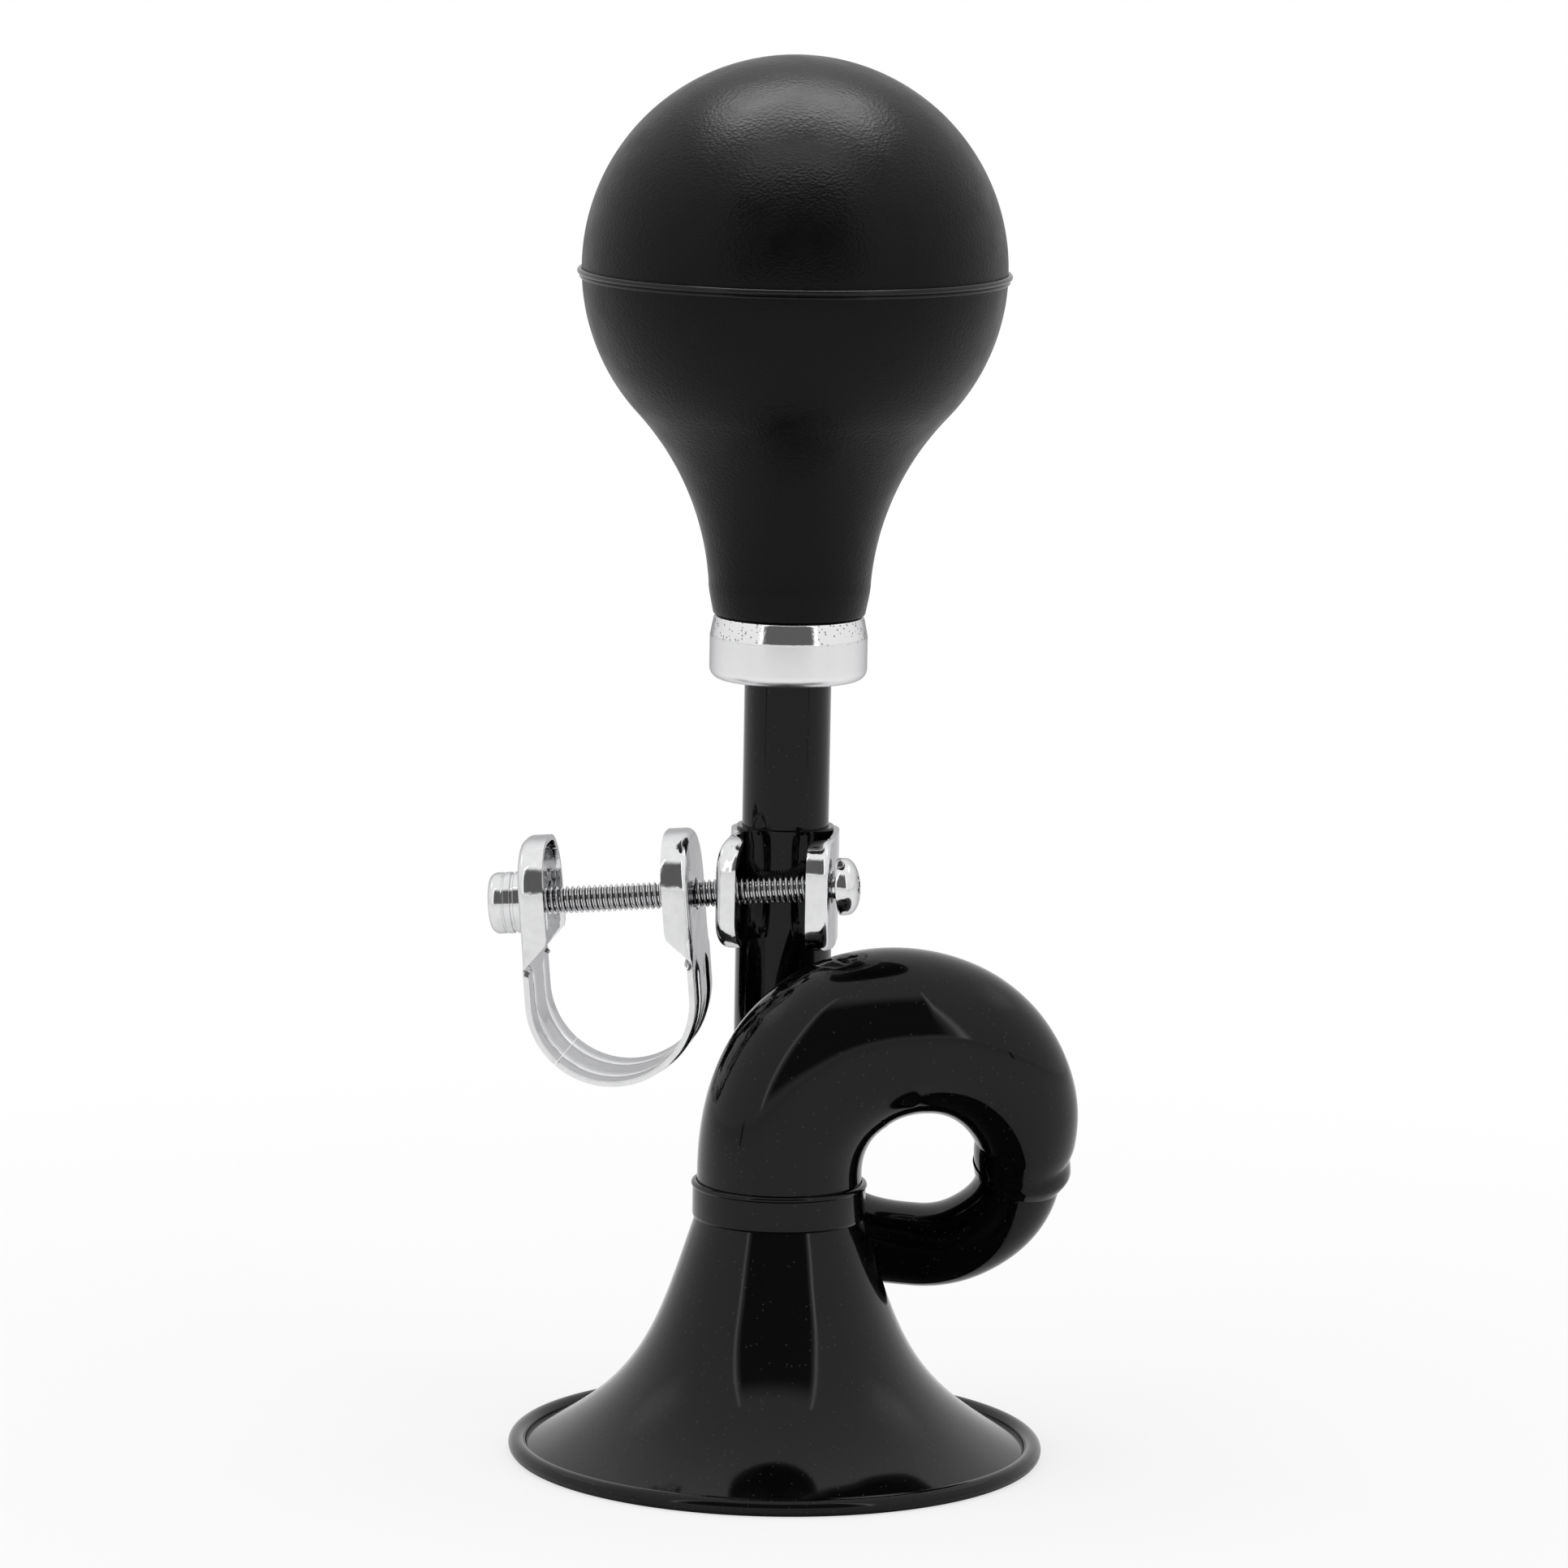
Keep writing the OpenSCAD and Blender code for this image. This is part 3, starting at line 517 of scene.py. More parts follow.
# The sleeve's open end is rounded off, its rings getting less towards the edge
rings = []
for a, less in ((350.6, 0.6), (351.4, 0.5), (352.6, 0.36), (354, 0.18), (355.4, 0.05), (356.4, 0)):
    run = (lower_centre(a + 1) - lower_centre(a - 1)).normalized()
    inward = SLEEVE_R + swell(a) - slim(a) - less * SLEEVE_TAPER
    rings.append(tube_ring(upper_centre(a), run, a, inward, SLEEVE_R + SLEEVE_DEEPER - less, UPPER_SIDES))
for a in range(MEET_AT, NECK_AT + 1, 2):
    run = (upper_centre(a + 1) - upper_centre(a - 1)).normalized()
    inward = upper_height(a) + swell(a) - slim(a) - INSIDE_SOLID
    outward = upper_radius(a) + SLEEVE_DEEPER * (1 - ease(MEET_AT, 372, a))
    rings.append(tube_ring(upper_centre(a), run, a, inward, outward, UPPER_SIDES))
NECK_FOOT = FLARE_TOP + SHEET
for z in (EYE_Z - 2, NECK_FOOT + 2, NECK_FOOT):
    rings.append([Vector((p[0], p[1], z)) for p in rings[-1]])
upper_bend = rolled_tube("upper_bend_skin", rings, WALL)
upper_bend.data.materials.append(enamel)
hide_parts("upper_bend")
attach(upper_bend, "horn")

down = Vector((0, 0, -1))
rings = []
for z in (LEG_TOP, LEG_TOP - 0.3, 80, 72, 64, 56, 50, 46, 43):
    rings.append(tube_ring(Vector((0, STEM_BACK, z)), down, LEG_AT, LEG_R, LEG_R, LOWER_SIDES))
for a in range(LEG_AT, MEET_AT + 1, 2):
    run = down if a <= LEG_AT else (lower_centre(a + 1) - lower_centre(a - 1)).normalized()
    inward = LEG_R + (PINCH_R - LEG_R) * ease(LEG_AT, 262, a)
    outward = LEG_R + (PINCH_R + SLEEVE_DEEPER - LEG_R) * ease(190, 280, a)
    rings.append(tube_ring(lower_centre(a), run, a, inward, outward, LOWER_SIDES))
lower_bend = rolled_tube("lower_bend_skin", rings, WALL)
lower_bend.data.materials.append(enamel)
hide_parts("lower_bend")
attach(lower_bend, "horn")

# Stem
# Straight drawn tube, enamelled black. Its foot slides into the lower bend's leg, where the clip goes
# round both, and its top end sits in the collar.
STEM_R, STEM_FOOT, STEM_MIDDLE, STEM_TOP = 6.22, 71.5, 92, 113.74
outline = [(STEM_R, z) for z in (STEM_FOOT, STEM_MIDDLE, STEM_TOP)]
outline += [(STEM_R - WALL, z) for z in (STEM_TOP, STEM_MIDDLE, STEM_FOOT)]
stem = turned("stem_tube_skin", outline, steps=96, centre_y=STEM_BACK * MM)
stem.data.materials.append(enamel)
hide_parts("stem_tube")
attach(stem, "horn")

# Collar
# Turned aluminium ring, polished, with a round lower edge and a thin lip where it meets the stem.
# Its spigot, inside the rubber, has grooves that the bulb's neck grips.
SEAM_Z, BALL_R, CURVE_R, BULB_NECK_R = 167.4, 30.3, 39.5, 11.5
BULB_FOOT = SEAM_Z - math.sqrt((BALL_R + CURVE_R) ** 2 - (BULB_NECK_R + CURVE_R) ** 2)
COLLAR_R, COLLAR_H, COLLAR_DROP, COLLAR_EDGE = 11.3, 9.2, 1.8, 1.6
COLLAR_TOP = BULB_FOOT - COLLAR_DROP
COLLAR_FOOT = COLLAR_TOP - COLLAR_H
STEM_SOCKET_R, STEM_SOCKET_H = STEM_R + 0.05, 5
SHELF_R, SHELF_TOP = 3.0, COLLAR_FOOT + 6.3
SPIGOT_R, SPIGOT_BORE_R, SPIGOT_TOP = 8.5, 5.55, COLLAR_TOP + 7.9
GROOVE_R, GROOVE_H, GROOVE_BEVEL = 8.1, 0.8, 0.1
polished, tree, shader = new_paint("polished_aluminium", (0.9, 0.9, 0.91), metallic=1, roughness=0.2)
shader.inputs["Specular Tint"].default_value = (0.45, 0.45, 0.46, 1)
coords = tree.nodes.new("ShaderNodeTexCoord")
axes = tree.nodes.new("ShaderNodeSeparateXYZ")
tree.links.new(coords.outputs["Object"], axes.inputs[0])
# The lip along its top is the brightest part, with fine pits at both sides of its front
upper = stepped(tree, axes.outputs[2], (COLLAR_TOP - 3.4) * MM, (COLLAR_TOP - 2.8) * MM)
pits = placed_group(tree, dust_group, Scale=2300, Size=0.33)
grain = placed_group(tree, wave_group, Scale=2600, Detail=3)
beside = stepped(tree, worked(tree, "ABSOLUTE", axes.outputs[0]), 3.2 * MM, 4.6 * MM)
etched = worked(tree, "MULTIPLY", worked(tree, "MULTIPLY", pits.outputs[0], upper), beside)
tree.links.new(stepped(tree, upper, 0, 1, start=0.3, stop=0.07), shader.inputs["Roughness"])
soft = bumped(tree, grain.outputs[0], strength=0.1, distance=0.0001)
pitted = bumped(tree, etched, strength=-0.5, distance=0.0001, under=soft)
tree.links.new(pitted, shader.inputs["Normal"])
tree.links.new(tinted(tree, etched, (0.9, 0.9, 0.91), (0.3, 0.3, 0.31)), shader.inputs["Base Color"])
outline = [(STEM_SOCKET_R, COLLAR_FOOT - 0.4), (STEM_R + 0.5, COLLAR_FOOT - 0.4)]
outline += [(STEM_R + 0.55, COLLAR_FOOT), (COLLAR_R - COLLAR_EDGE, COLLAR_FOOT)]
outline += arc((COLLAR_R - COLLAR_EDGE, COLLAR_FOOT + COLLAR_EDGE), COLLAR_EDGE, -78, 0, 12)
outline += [(COLLAR_R - inward, COLLAR_TOP - drop) for inward, drop in ((0, 3.1), (0.02, 2.85), (0.05, 2.7))]
outline += arc((COLLAR_R - 1.09, COLLAR_TOP - 0.6), 0.6, 12, 90, 8)
outline += [(SPIGOT_R, COLLAR_TOP)]
for z in (2, 4, 6):
    foot, top = COLLAR_TOP + z, COLLAR_TOP + z + GROOVE_H
    outline += [(SPIGOT_R, foot), (GROOVE_R, foot + GROOVE_BEVEL)]
    outline += [(GROOVE_R, top - GROOVE_BEVEL), (SPIGOT_R, top)]
outline += [(SPIGOT_R, SPIGOT_TOP), (SPIGOT_BORE_R, SPIGOT_TOP), (SPIGOT_BORE_R, SHELF_TOP)]
outline += [(SHELF_R, SHELF_TOP), (SHELF_R, COLLAR_FOOT + STEM_SOCKET_H)]
outline += [(STEM_SOCKET_R, COLLAR_FOOT + STEM_SOCKET_H)]
collar = turned("polished_collar", outline, steps=128, centre_y=STEM_BACK * MM)
collar.data.materials.append(polished)
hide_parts("collar")
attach(collar, "horn")

# Reed
# Brass reed tube with its springy tongue, wedged in a rubber bush that is pushed into the spigot. All
# of it is inside the bulb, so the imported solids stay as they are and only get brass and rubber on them.
brass, tree, shader = new_paint("reed_brass", (0.72, 0.52, 0.22), metallic=1, roughness=0.32)
drawn = placed_group(tree, wave_group, Scale=900, Detail=4)
tree.links.new(ranged(tree, drawn.outputs[0], 0.22, 0.42), shader.inputs["Roughness"])
tree.links.new(tinted(tree, drawn.outputs[0], (0.66, 0.46, 0.18), (0.78, 0.58, 0.28)),
               shader.inputs["Base Color"])
bush_rubber, tree, shader = new_paint("bush_rubber", (0.03, 0.027, 0.024), metallic=0, roughness=0.7)
chalk = placed_group(tree, wave_group, Scale=600, Detail=5)
tree.links.new(ranged(tree, chalk.outputs[0], 0.6, 0.85), shader.inputs["Roughness"])
for name, finish in (("reed_tube", brass), ("reed_tongue", brass), ("reed_wedge", brass),
                     ("reed_bush", bush_rubber)):
    inner_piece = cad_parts[name]
    inner_piece.data.materials.clear()
    inner_piece.data.materials.append(finish)

# Bulb
# Moulded rubber ball that narrows through a hollow curve to the neck on the collar. It is dull
# black with a fine leathery grain.
BULB_WALL, SEAM_DROP, SQUEEZE = 2.2, 0.9, 16
GRIP_R, GRIP_H, NECK_EDGE_H = 8.55, 8.5, 2.8
rubber, tree, shader = new_paint("bulb_rubber", (0.002, 0.002, 0.002), metallic=0, roughness=0.34)
shader.inputs["Specular IOR Level"].default_value = 0.15
coords = tree.nodes.new("ShaderNodeTexCoord")
stretched = tree.nodes.new("ShaderNodeMapping")
stretched.inputs["Scale"].default_value = (1, 1, 1.5)
leather = tree.nodes.new("ShaderNodeTexVoronoi")
leather.feature = "SMOOTH_F1"
leather.inputs["Scale"].default_value = 2000
leather.inputs["Smoothness"].default_value = 0.6
tree.links.new(coords.outputs["Object"], stretched.inputs["Vector"])
tree.links.new(stretched.outputs[0], leather.inputs["Vector"])
bloom = placed_group(tree, wave_group, Scale=220, Detail=6)
tree.links.new(ranged(tree, bloom.outputs[0], 0.30, 0.40), shader.inputs["Roughness"])
tree.links.new(tinted(tree, bloom.outputs[0], (0.001, 0.001, 0.001), (0.003, 0.003, 0.003)),
               shader.inputs["Base Color"])
creases = placed_group(tree, wave_group, Scale=420, Detail=4)
folds = bumped(tree, creases.outputs[0], strength=0.04, distance=0.0004)
grained = bumped(tree, leather.outputs["Distance"], strength=0.22, distance=0.0002, under=folds)
tree.links.new(grained, shader.inputs["Normal"])

meet = math.degrees(math.acos((BULB_NECK_R + CURVE_R) / (BALL_R + CURVE_R)))
seam_angle = math.degrees(math.asin(SEAM_DROP / BALL_R))


def lower_line(wall, count=40):
    """From the seam down the ball and the hollow curve, one wall in from the outside."""
    ball = arc((0, SEAM_Z), BALL_R - wall, -seam_angle, -meet, count)
    curve = arc((BULB_NECK_R + CURVE_R, BULB_FOOT), CURVE_R + wall, 180 - meet, 180, count)
    return ball + curve[1:]


outside = [p for p in lower_line(0) if p[1] > BULB_FOOT + NECK_EDGE_H]
inside = [p for p in lower_line(BULB_WALL) if p[1] > COLLAR_TOP + GRIP_H]
# The neck's outer side draws in to meet the collar's top
drawn_in = ((0.1, 2.4), (0, 1.6), (-0.14, 0.8), (-0.3, 0.0), (-0.46, -0.8), (-0.58, -1.4), (-0.66, -1.6),
            (-0.85, -1.7))
outline = outside + [(BULB_NECK_R + r, BULB_FOOT + z) for r, z in drawn_in]
outline += [(BULB_NECK_R - 1.2, COLLAR_TOP), (GRIP_R, COLLAR_TOP)]
outline += [(GRIP_R, COLLAR_TOP + GRIP_H)] + inside[::-1]
skirt = turned("bulb_lower", outline, steps=128, centre_y=STEM_BACK * MM)
skirt.data.materials.append(rubber)
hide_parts("bulb_neck", "bulb_skirt")
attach(skirt, "horn")
bulb_lit.objects.link(skirt)
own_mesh(skirt)

outline = [(0, SEAM_Z + BALL_R)] + arc((0, SEAM_Z), BALL_R, 89, -seam_angle, 48)
outline += arc((0, SEAM_Z), BALL_R - BULB_WALL, -seam_angle, 89, 48) + [(0, SEAM_Z + BALL_R - BULB_WALL)]
dome = turned("bulb_upper", outline, steps=128, centre_y=STEM_BACK * MM)
dome.data.materials.append(rubber)
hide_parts("bulb_dome")
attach(dome, "bulb")
bulb_lit.objects.link(dome)

# Seam ring
# Thin double bead, moulded in one with the rubber where the ball's two halves meet. It is a little
# smoother than the rest of the ball.
bead_rubber, tree, shader = new_paint("bead_rubber", (0.004, 0.004, 0.004), metallic=0, roughness=0.3)
shader.inputs["Specular IOR Level"].default_value = 0.28
nap = placed_group(tree, wave_group, Scale=900, Detail=5)
tree.links.new(ranged(tree, nap.outputs[0], 0.16, 0.24), shader.inputs["Roughness"])
BEAD_ROOT, UPPER_BEAD_R, LOWER_BEAD_R = BALL_R - 0.25, 0.44, 0.24
bead_z = SEAM_Z - SEAM_DROP
outline = [(BEAD_ROOT, bead_z + 0.8)]
outline += arc((BALL_R + 0.19, bead_z + 0.3), UPPER_BEAD_R, 130, -70, 12)
outline += arc((BALL_R + 0.06, bead_z - 0.46), LOWER_BEAD_R, 50, -110, 7)
outline += [(BEAD_ROOT, bead_z - 0.78)]
seam = turned("seam_bead", outline, steps=160, centre_y=STEM_BACK * MM)
seam.data.materials.append(bead_rubber)
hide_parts("seam_ring")
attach(seam, "bulb")
bulb_lit.objects.link(seam)

# Clip and strap sheets
# Pressed steel sheet, 0.8 mm thick, with its ears' rims turned in over a round bend, then chrome
# plated. The clip is bent round the leg and the strap round the handlebar, with two ribs along it.
GAUGE, BEND, BEND_STEPS = 0.8, 1.15, 6
EDGE_PLACES = BEND_STEPS + 1
CLIP_Z, CLIP_TURN, CLIP_H, KNEE, DRAWN_IN = 79.1, 7.2, 15.8, 4.6, 0.11
SCREW_OUT, SCREW_RISE, SCREW_LEAN = 9.6, 0.5, 5.0
EAR_HALF, EAR_SPLAY, EAR_REACH = 8.1, math.radians(12.0), 5.2
BAND_R = LEG_R + 0.05
LEFT_ROOT = math.sqrt((BAND_R + GAUGE / 2) ** 2 - KNEE ** 2)
LEFT_HALF = LEFT_ROOT + GAUGE / 2 / math.cos(EAR_SPLAY) + (SCREW_OUT - KNEE) * math.tan(EAR_SPLAY)
BAR_ROOM_R, BAR_DROP, STRAP_W, STRAP_GAP = 11.4, 13.6, 18.0, 4.2
STRAP_R = BAR_ROOM_R + GAUGE
STRAP_X = -(LEFT_HALF + STRAP_GAP + STRAP_R)
CUP_FOOT, CUP_RISE, CUP_RIM, CUP_CORNER = 8.6, 9.3, 3.7, 7.5
RIB_AT, RIB_HALF, RIB_HIGH = STRAP_W / 4, 0.95, 0.38
HOLE_R, PUNCH_H = 2.3, 6
WELD_GAP = 0.01 * MM
on_clip = (Matrix.Translation(Vector((0, STEM_BACK, CLIP_Z)))
           @ Matrix.Rotation(math.radians(-CLIP_TURN), 4, "Z"))
on_screw = (on_clip @ Matrix.Translation(Vector((0, -SCREW_OUT, SCREW_RISE)))
            @ Matrix.Rotation(math.radians(-SCREW_LEAN), 4, "Y"))
on_strap = on_screw @ Matrix.Translation(Vector((STRAP_X, 0, 0)))

chrome, tree, shader = new_paint("bright_chrome", (0.88, 0.88, 0.89), metallic=1, roughness=0.06)
shader.inputs["Specular Tint"].default_value = (0.55, 0.55, 0.56, 1)
dents = placed_group(tree, wave_group, Scale=260, Detail=3)
smears = placed_group(tree, wave_group, Scale=900, Detail=6)
tree.links.new(ranged(tree, smears.outputs[0], 0.05, 0.13, start=0.35, stop=0.75), shader.inputs["Roughness"])
pinholes = placed_group(tree, dust_group, Scale=1500, Size=0.22)
soft = bumped(tree, dents.outputs[0], strength=0.1, distance=0.0008)
fine = bumped(tree, smears.outputs[0], strength=0.08, distance=0.00012, under=soft)
finest = bumped(tree, pinholes.outputs[0], strength=-0.1, distance=0.00006, under=fine)
tree.links.new(finest, shader.inputs["Normal"])
tree.links.new(tinted(tree, smears.outputs[0], (0.74, 0.745, 0.75), (0.93, 0.93, 0.94)),
               shader.inputs["Base Color"])

bend_turns = [math.radians(90 * k / BEND_STEPS) for k in range(EDGE_PLACES)]


def across(width):
    """Places across a sheet, closer together where its edges bend up."""
    half = width / 2
    edge = sorted({round(half - BEND + BEND * math.sin(t), 5) for t in bend_turns})
    middle = [(half - BEND) * (i / 12 - 1) for i in range(1, 24)]
    return [-y for y in edge[::-1]] + middle + edge


def ear_skin(root, reach, width, corner, rim, rim_start):
    """Outer skin of an ear that lies flat along X: rows from its flat round the bend and up the rim."""
    half = width / 2
    turns = [math.radians(10 * k) for k in range(1, 10)]
    side = sorted({root, rim_start} | {root + (reach - corner - root) * i / 12 for i in range(13)})
    line = [(x, -half, 0, 1) for x in side if x <= reach - corner]
    line += [(reach - corner + corner * math.sin(t), corner - half - corner * math.cos(t),
              -math.sin(t), math.cos(t)) for t in turns]
    line += [(reach, (half - corner) * (i / 3 - 1), -1, 0) for i in range(1, 3)]
    line += [(x, -y, u, -v) for x, y, u, v in line[::-1] if not (u == -1 and abs(y) < 0.001)]
    fold = [(BEND - BEND * math.sin(t), BEND - BEND * math.cos(t)) for t in bend_turns]
    fold += [(0, BEND + (rim - BEND) * k / 3) for k in range(1, 4)]
    rows = []
    for x, y, u, v in line:
        up = min(max(x - rim_start, 0), rim) / rim
        rows.append([(x + u * inset, y + v * inset, z * up) for inset, z in fold])
    return rows


def laid_grid(rows):
    """A sheet through rows of points."""
    bpy.ops.object.select_all(action="DESELECT")
    bpy.ops.mesh.primitive_grid_add(x_subdivisions=len(rows[0]) - 1, y_subdivisions=len(rows) - 1, size=1)
    piece = bpy.context.object
    for vertex, point in zip(piece.data.vertices, [p for row in rows for p in row]):
        vertex.co = Vector(point) * MM
    return piece


def ear_flat(rim_foot, row):
    """The flat of an ear, between its rim's foot and the row of the band that it grows from."""
    inner = row[EDGE_PLACES:-EDGE_PLACES]
    if (inner[0] - rim_foot[-1]).length > (inner[-1] - rim_foot[-1]).length:
        inner = inner[::-1]
    loop = rim_foot + inner
    bpy.ops.object.select_all(action="DESELECT")
    bpy.ops.mesh.primitive_circle_add(vertices=len(loop), radius=1, fill_type="NGON")
    piece = bpy.context.object
    for vertex, point in zip(piece.data.vertices, loop):
        vertex.co = Vector(point) * MM
    return piece


def pressed_sheet(name, skins, probe, outward, holes, edge):
    """Skins welded into one sheet, thickened away from the given side, punched, and rounded off."""
    bpy.ops.object.select_all(action="DESELECT")
    for piece in skins:
        piece.select_set(True)
    bpy.context.view_layer.objects.active = skins[0]
    bpy.ops.object.join()
    sheet = bpy.context.object
    sheet.name = name
    bpy.ops.object.mode_set(mode="EDIT")
    bpy.ops.mesh.select_all(action="SELECT")
    bpy.ops.mesh.remove_doubles(threshold=WELD_GAP)
    bpy.ops.mesh.normals_make_consistent(inside=False)
    bpy.ops.object.mode_set(mode="OBJECT")
    spot = min(sheet.data.polygons, key=lambda f: (f.center - Vector(probe) * MM).length)
    if spot.normal.dot(Vector(outward)) < 0:
        sheet.data.flip_normals()
    thick = sheet.modifiers.new("gauge", "SOLIDIFY")
    thick.thickness = GAUGE * MM
    thick.offset = -1
    thick.use_even_offset = True
    bpy.ops.object.modifier_apply(modifier="gauge")
    for place in holes:
        bpy.ops.object.select_all(action="DESELECT")
        bpy.ops.mesh.primitive_cylinder_add(vertices=48, radius=HOLE_R * MM, depth=PUNCH_H * MM)
        punch = bpy.context.object
        punch.data.transform(place)
        bpy.ops.object.select_all(action="DESELECT")
        sheet.select_set(True)
        bpy.context.view_layer.objects.active = sheet
        cut = sheet.modifiers.new("hole", "BOOLEAN")
        cut.operation = "DIFFERENCE"
        cut.solver = "EXACT"
        cut.object = punch
        bpy.ops.object.modifier_apply(modifier="hole")
        bpy.data.objects.remove(punch)
    round_over = sheet.modifiers.new("round_over", "BEVEL")
    round_over.width = edge * MM
    round_over.segments = 3
    round_over.limit_method = "ANGLE"
    round_over.angle_limit = math.radians(50)
    round_over.harden_normals = False
    bpy.ops.object.modifier_apply(modifier="round_over")
    bpy.ops.object.shade_smooth_by_angle(angle=math.radians(38))
    return sheet


def along_x(place, x):
    """Lays what was made along +Z along a place's X, this far along it, in metres."""
    laid = place @ Matrix.Translation(Vector((x, 0, 0))) @ Matrix.Rotation(math.radians(90), 4, "Y")
    return Matrix.Translation(laid.translation * MM) @ laid.to_3x3().to_4x4()


def moved(rows, change):
    return [[change(Vector(p)) for p in row] for row in rows]


def clip_sheet_skins():
    """The band round the leg, with one straight ear on the right and one splayed ear on the left."""
    reach = SCREW_OUT + EAR_REACH - KNEE
    ear = ear_skin(root=0, reach=reach, width=CLIP_H, corner=4.5, rim=3.2, rim_start=3.4)
    root = LEFT_ROOT + GAUGE / 2

    def right(p):
        return on_clip @ Vector((EAR_HALF - p.z, -KNEE - p.x, p.y))

    def left(p):
        x, y = -p.z, -p.x
        return on_clip @ Vector((-(root + x * math.cos(EAR_SPLAY) - y * math.sin(EAR_SPLAY)),
                                 -KNEE + x * math.sin(EAR_SPLAY) + y * math.cos(EAR_SPLAY), p.y))
    heights = across(CLIP_H)
    plan = [(EAR_HALF - DRAWN_IN * i, -KNEE * (3 - i) / 3) for i in range(3)]
    plan += arc((0, 0), BAND_R + GAUGE, 0, 180 + math.degrees(math.atan2(KNEE, root)), 44)[:-1]
    plan += [(-root, -KNEE)]
    band = [[on_clip @ Vector((x, y, z)) for z in heights] for x, y in plan]
    skins = [laid_grid(band)]
    for place, row in ((right, band[0]), (left, band[-1])):
        rows = moved(ear, place)
        skins.append(laid_grid(rows))
        skins.append(ear_flat([r[0] for r in rows], row))
    return skins


bore = [along_x(on_screw, EAR_HALF - GAUGE / 2), along_x(on_screw, GAUGE / 2 - LEFT_HALF)]
clip_sheet = pressed_sheet("clip_sheet", clip_sheet_skins(), on_clip @ Vector((0, BAND_R + GAUGE, 0)),
                           on_clip.to_3x3() @ Vector((0, 1, 0)), bore, edge=0.16)
clip_sheet.data.materials.clear()
clip_sheet.data.materials.append(chrome)
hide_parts("stem_clip")
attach(clip_sheet, "clip")


def rib(y):
    """How far the strap stands out at a place across it."""
    beside = min(abs(y - RIB_AT), abs(y + RIB_AT))
    return RIB_HIGH * math.cos(math.pi * beside / 2 / RIB_HALF) ** 2 if beside < RIB_HALF else 0


edges = across(STRAP_W)
ribs = [side * (RIB_AT + RIB_HALF * k / 4) for side in (-1, 1) for k in range(-4, 5)]
between = [-6.6, -1.8, 0.0, 1.8, 6.6]
ribbed = sorted(edges[:EDGE_PLACES] + ribs + between + edges[-EDGE_PLACES:])


def strap_skins(side, stop, straight=8, turns=48):
    """Side is 1 next to the stem and -1 under the nut; the loop runs down to the angle stop."""
    def place(p):
        return on_strap @ Vector((side * (STRAP_R - p.z), p.y, p.x))
    ear = moved(ear_skin(-CUP_FOOT, CUP_RISE, STRAP_W, CUP_CORNER, CUP_RIM, -CUP_FOOT), place)
    rows = []
    for i in range(straight):
        z = -CUP_FOOT - (BAR_DROP - CUP_FOOT) * i / straight
        rows.append([on_strap @ Vector((side * (STRAP_R + rib(y) * ease(0, 3, i)), y, z)) for y in ribbed])
    for i in range(turns + 1):
        c, s = math.cos(math.radians(stop * i / turns)), math.sin(math.radians(stop * i / turns))
        rows.append([on_strap @ Vector((side * (STRAP_R + rib(y)) * c, y, -BAR_DROP - (STRAP_R + rib(y)) * s))
                     for y in ribbed])
    return [laid_grid(rows), laid_grid(ear), ear_flat([r[0] for r in ear], rows[0])]


for side, stop, node, name, body in ((1, 134.75, "strap_inner_half", "strap_inner_sheet", "strap"),
                                     (-1, 44.75, "strap_outer_half", "strap_outer_sheet", "strap_end")):
    hole = [along_x(on_strap, side * (STRAP_R - GAUGE / 2))]
    strap = pressed_sheet(name, strap_skins(side, stop), on_strap @ Vector((side * STRAP_R, 0, 5)),
                          on_strap.to_3x3() @ Vector((side, 0, 0)), hole, edge=0.14)
    strap.data.materials.clear()
    strap.data.materials.append(chrome)
    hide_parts(node)
    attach(strap, body)

# Clamp screw
# Steel machine screw, 32 turns an inch, with a rolled thread and a pan head with a cross recess,
# plated. It goes through the ears of the clip and of the strap and draws them together.
HEAD_SEAT, NUT_SEAT, NUT_LEN, NUT_ROOF, PITCH = 8.95, STRAP_X - STRAP_R, 5.3, 0.7, 0.79
NUT_TRAVEL = PITCH * 3
SCREW_TIP = NUT_SEAT - (NUT_LEN - NUT_ROOF - NUT_TRAVEL - 0.15)
THREAD_OUT, THREAD_ROOT = 1.97, 1.5
HEAD_R, HEAD_H, HEAD_EDGE = 4.1, 3.1, 1.1
RECESS_LONG, RECESS_WIDE, BLADE_H, RECESS_TURN = 4.4, 0.95, 3.4, 20
plated, tree, shader = new_paint("plated_steel", (0.6, 0.6, 0.61), metallic=1, roughness=0.16)
oil = placed_group(tree, wave_group, Scale=800, Detail=5)
tree.links.new(ranged(tree, oil.outputs[0], 0.12, 0.26), shader.inputs["Roughness"])
# The thread's roots are painted near-black as shade, and its crests keep the plated colour, by the distance
# from its axis
coords = tree.nodes.new("ShaderNodeTexCoord")
from_axis = tree.nodes.new("ShaderNodeVectorMath")
from_axis.operation = "SUBTRACT"
from_axis.inputs[1].default_value = on_screw.translation * MM
turned_off = tree.nodes.new("ShaderNodeVectorMath")
turned_off.operation = "CROSS_PRODUCT"
turned_off.inputs[1].default_value = on_screw.to_3x3() @ Vector((1, 0, 0))
off_axis = tree.nodes.new("ShaderNodeVectorMath")
off_axis.operation = "LENGTH"
tree.links.new(coords.outputs["Object"], from_axis.inputs[0])
tree.links.new(from_axis.outputs[0], turned_off.inputs[0])
tree.links.new(turned_off.outputs[0], off_axis.inputs[0])
crests_over_painted_root_shade = stepped(tree, off_axis.outputs["Value"], 1.55 * MM, 1.88 * MM)
# Painted shade in the thread's roots, plated colour on its crests
tree.links.new(tinted(tree, crests_over_painted_root_shade, (0.06, 0.06, 0.062), (0.66, 0.66, 0.67)), shader.inputs["Base Color"])


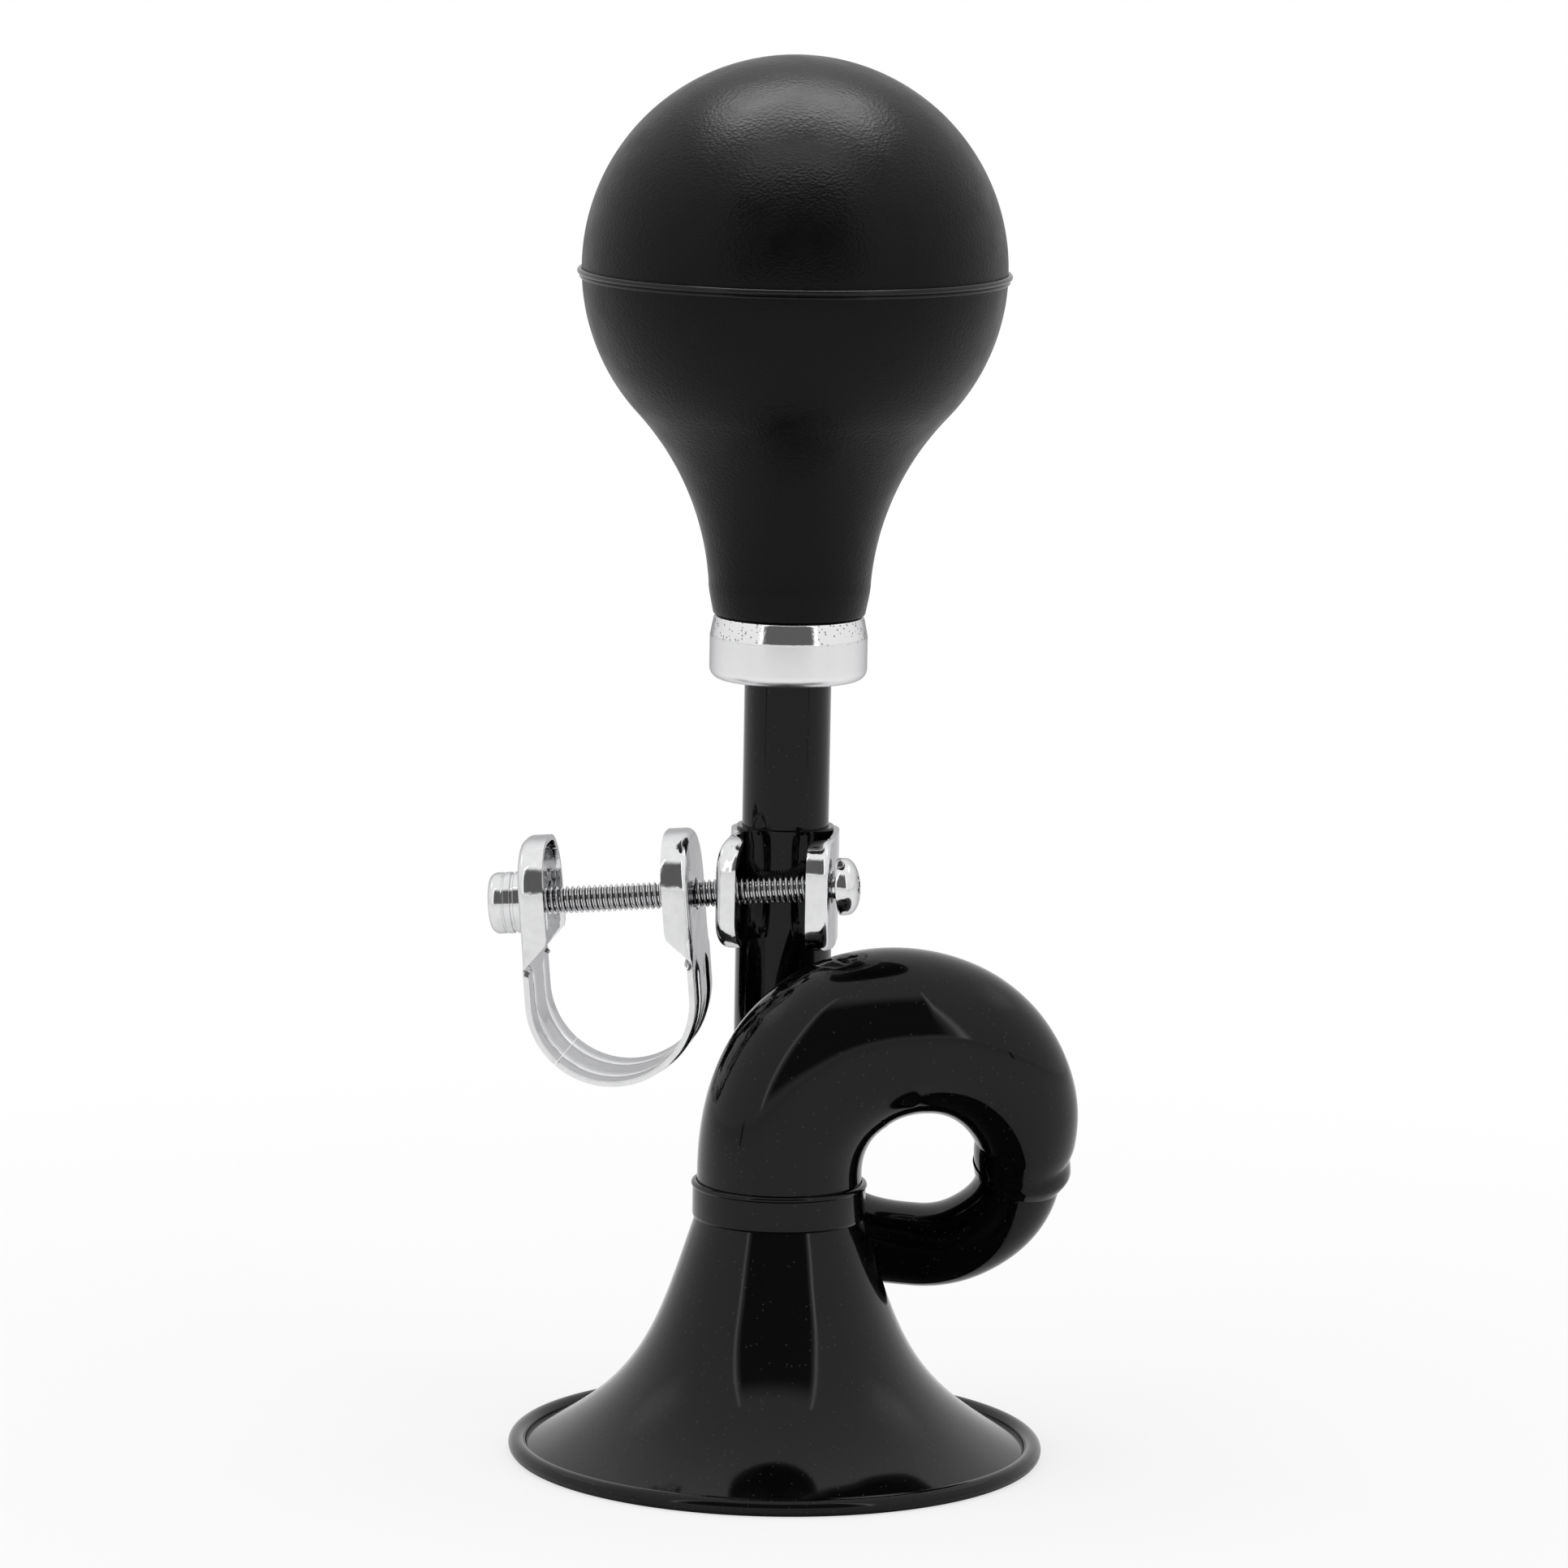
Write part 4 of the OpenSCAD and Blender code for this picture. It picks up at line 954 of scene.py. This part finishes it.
def laid_on_screw(piece):
    """Takes a piece that was made along +Z and lays it along the screw, towards its head."""
    piece.data.transform(along_x(on_screw, 0))
    piece.data.update()


bpy.ops.object.select_all(action="DESELECT")
bpy.ops.mesh.primitive_plane_add(size=0.01, location=(0, 0, 0))
thread = bpy.context.object
thread.name = "screw_thread"
bpy.ops.object.mode_set(mode="EDIT")
bpy.ops.mesh.select_all(action="SELECT")
bpy.ops.mesh.merge(type="CENTER")
tooth = [(THREAD_ROOT, 0), (THREAD_ROOT, 0.05), (THREAD_OUT - 0.16, 0.22), (THREAD_OUT - 0.04, 0.28),
         (THREAD_OUT, 0.36), (THREAD_OUT, 0.43), (THREAD_OUT - 0.04, 0.51), (THREAD_OUT - 0.16, 0.57),
         (THREAD_ROOT, 0.74), (THREAD_ROOT, PITCH)]
bpy.ops.transform.translate(value=(tooth[0][0] * MM, 0, SCREW_TIP * MM))
for a, b in zip(tooth, tooth[1:]):
    move = ((b[0] - a[0]) * MM, 0, (b[1] - a[1]) * MM)
    bpy.ops.mesh.extrude_region_move(TRANSFORM_OT_translate={"value": move})
bpy.ops.object.mode_set(mode="OBJECT")
helix = thread.modifiers.new("helix", "SCREW")
helix.angle = 2 * math.pi
helix.screw_offset = PITCH * MM
helix.iterations = int((HEAD_SEAT - SCREW_TIP) / PITCH) - 1
helix.steps = 28
helix.render_steps = 28
helix.use_merge_vertices = True
helix.merge_threshold = MERGE_GAP
bpy.ops.object.modifier_apply(modifier="helix")
bpy.ops.object.mode_set(mode="EDIT")
bpy.ops.mesh.select_all(action="SELECT")
bpy.ops.mesh.remove_doubles(threshold=MERGE_GAP)
bpy.ops.mesh.normals_make_consistent(inside=False)
bpy.ops.object.mode_set(mode="OBJECT")
bpy.ops.object.shade_smooth_by_angle(angle=math.radians(50))
laid_on_screw(thread)
thread.data.materials.append(plated)

outline = [(0, SCREW_TIP), (THREAD_ROOT + 0.02, SCREW_TIP), (THREAD_ROOT + 0.02, HEAD_SEAT - 0.9)]
outline += [(THREAD_OUT - 0.05, HEAD_SEAT - 0.6), (THREAD_OUT - 0.05, HEAD_SEAT), (HEAD_R - 0.35, HEAD_SEAT)]
outline += [(HEAD_R - 0.1, HEAD_SEAT + 0.1), (HEAD_R, HEAD_SEAT + 0.35)]
outline += [(HEAD_R - 0.02, HEAD_SEAT + HEAD_EDGE)]
for a in range(8, 88, 8):
    turn = math.radians(a)
    outline += [(HEAD_R * math.cos(turn) ** 0.8,
                 HEAD_SEAT + HEAD_EDGE + (HEAD_H - HEAD_EDGE) * math.sin(turn))]
outline += [(0, HEAD_SEAT + HEAD_H)]
shank = turned("screw_blank", outline, steps=64)

# Two blades, narrower at their foot, cut the cross recess
cutters = []
for turn in (0, 90):
    bpy.ops.object.select_all(action="DESELECT")
    bpy.ops.mesh.primitive_cube_add(size=1, location=(0, 0, (HEAD_SEAT + HEAD_H) * MM))
    blade = bpy.context.object
    blade.data.transform(Matrix.Diagonal((RECESS_LONG * MM, RECESS_WIDE * MM, BLADE_H * MM, 1)))
    for v in blade.data.vertices:
        if v.co.z < 0:
            v.co.x *= 0.45
            v.co.y *= 0.7
    blade.rotation_euler = (0, 0, math.radians(turn + RECESS_TURN))
    bpy.ops.object.transform_apply(location=True, rotation=True, scale=True)
    cutters.append(blade)
for blade in cutters:
    bpy.ops.object.select_all(action="DESELECT")
    shank.select_set(True)
    bpy.context.view_layer.objects.active = shank
    cut = shank.modifiers.new("recess", "BOOLEAN")
    cut.operation = "DIFFERENCE"
    cut.solver = "EXACT"
    cut.object = blade
    bpy.ops.object.modifier_apply(modifier="recess")
    bpy.data.objects.remove(blade)
bpy.ops.object.shade_smooth_by_angle(angle=math.radians(35))
laid_on_screw(shank)
shank.data.materials.append(chrome)
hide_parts("clamp_screw")
for piece in (thread, shank):
    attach(piece, "screw")

# Cap nut
# Turned round nut with a closed, rounded end, a groove near the strap and a fine line further on,
# plated. It runs on the screw's thread and presses on the strap's outer ear.
NUT_R, NUT_BORE_R, NUT_GROOVE_R, NUT_LINE_R, NUT_EDGE = 4.4, 2.03, 4.18, 4.26, 1.2
NUT_END = NUT_SEAT - NUT_LEN
outline = [(NUT_BORE_R, NUT_SEAT)]
for radius, along in ((NUT_R - 0.25, 0), (NUT_R, 0.25), (NUT_R, 1.5), (NUT_GROOVE_R, 1.62),
                      (NUT_GROOVE_R, 1.95), (NUT_R, 2.07), (NUT_R, 2.9), (NUT_LINE_R, 3.0),
                      (NUT_LINE_R, 3.2), (NUT_R - 0.02, 3.3)):
    outline += [(radius, NUT_SEAT - along)]
outline += arc((NUT_R - NUT_EDGE, NUT_END + NUT_EDGE), NUT_EDGE, 0, -84, 7)
outline += [(NUT_R / 2, NUT_END), (0, NUT_END), (0, NUT_END + NUT_ROOF), (NUT_BORE_R, NUT_END + NUT_ROOF)]
nut = turned("cap_nut_turned", outline, steps=80)
laid_on_screw(nut)
nut.data.materials.append(chrome)
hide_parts("cap_nut")
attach(nut, "nut")
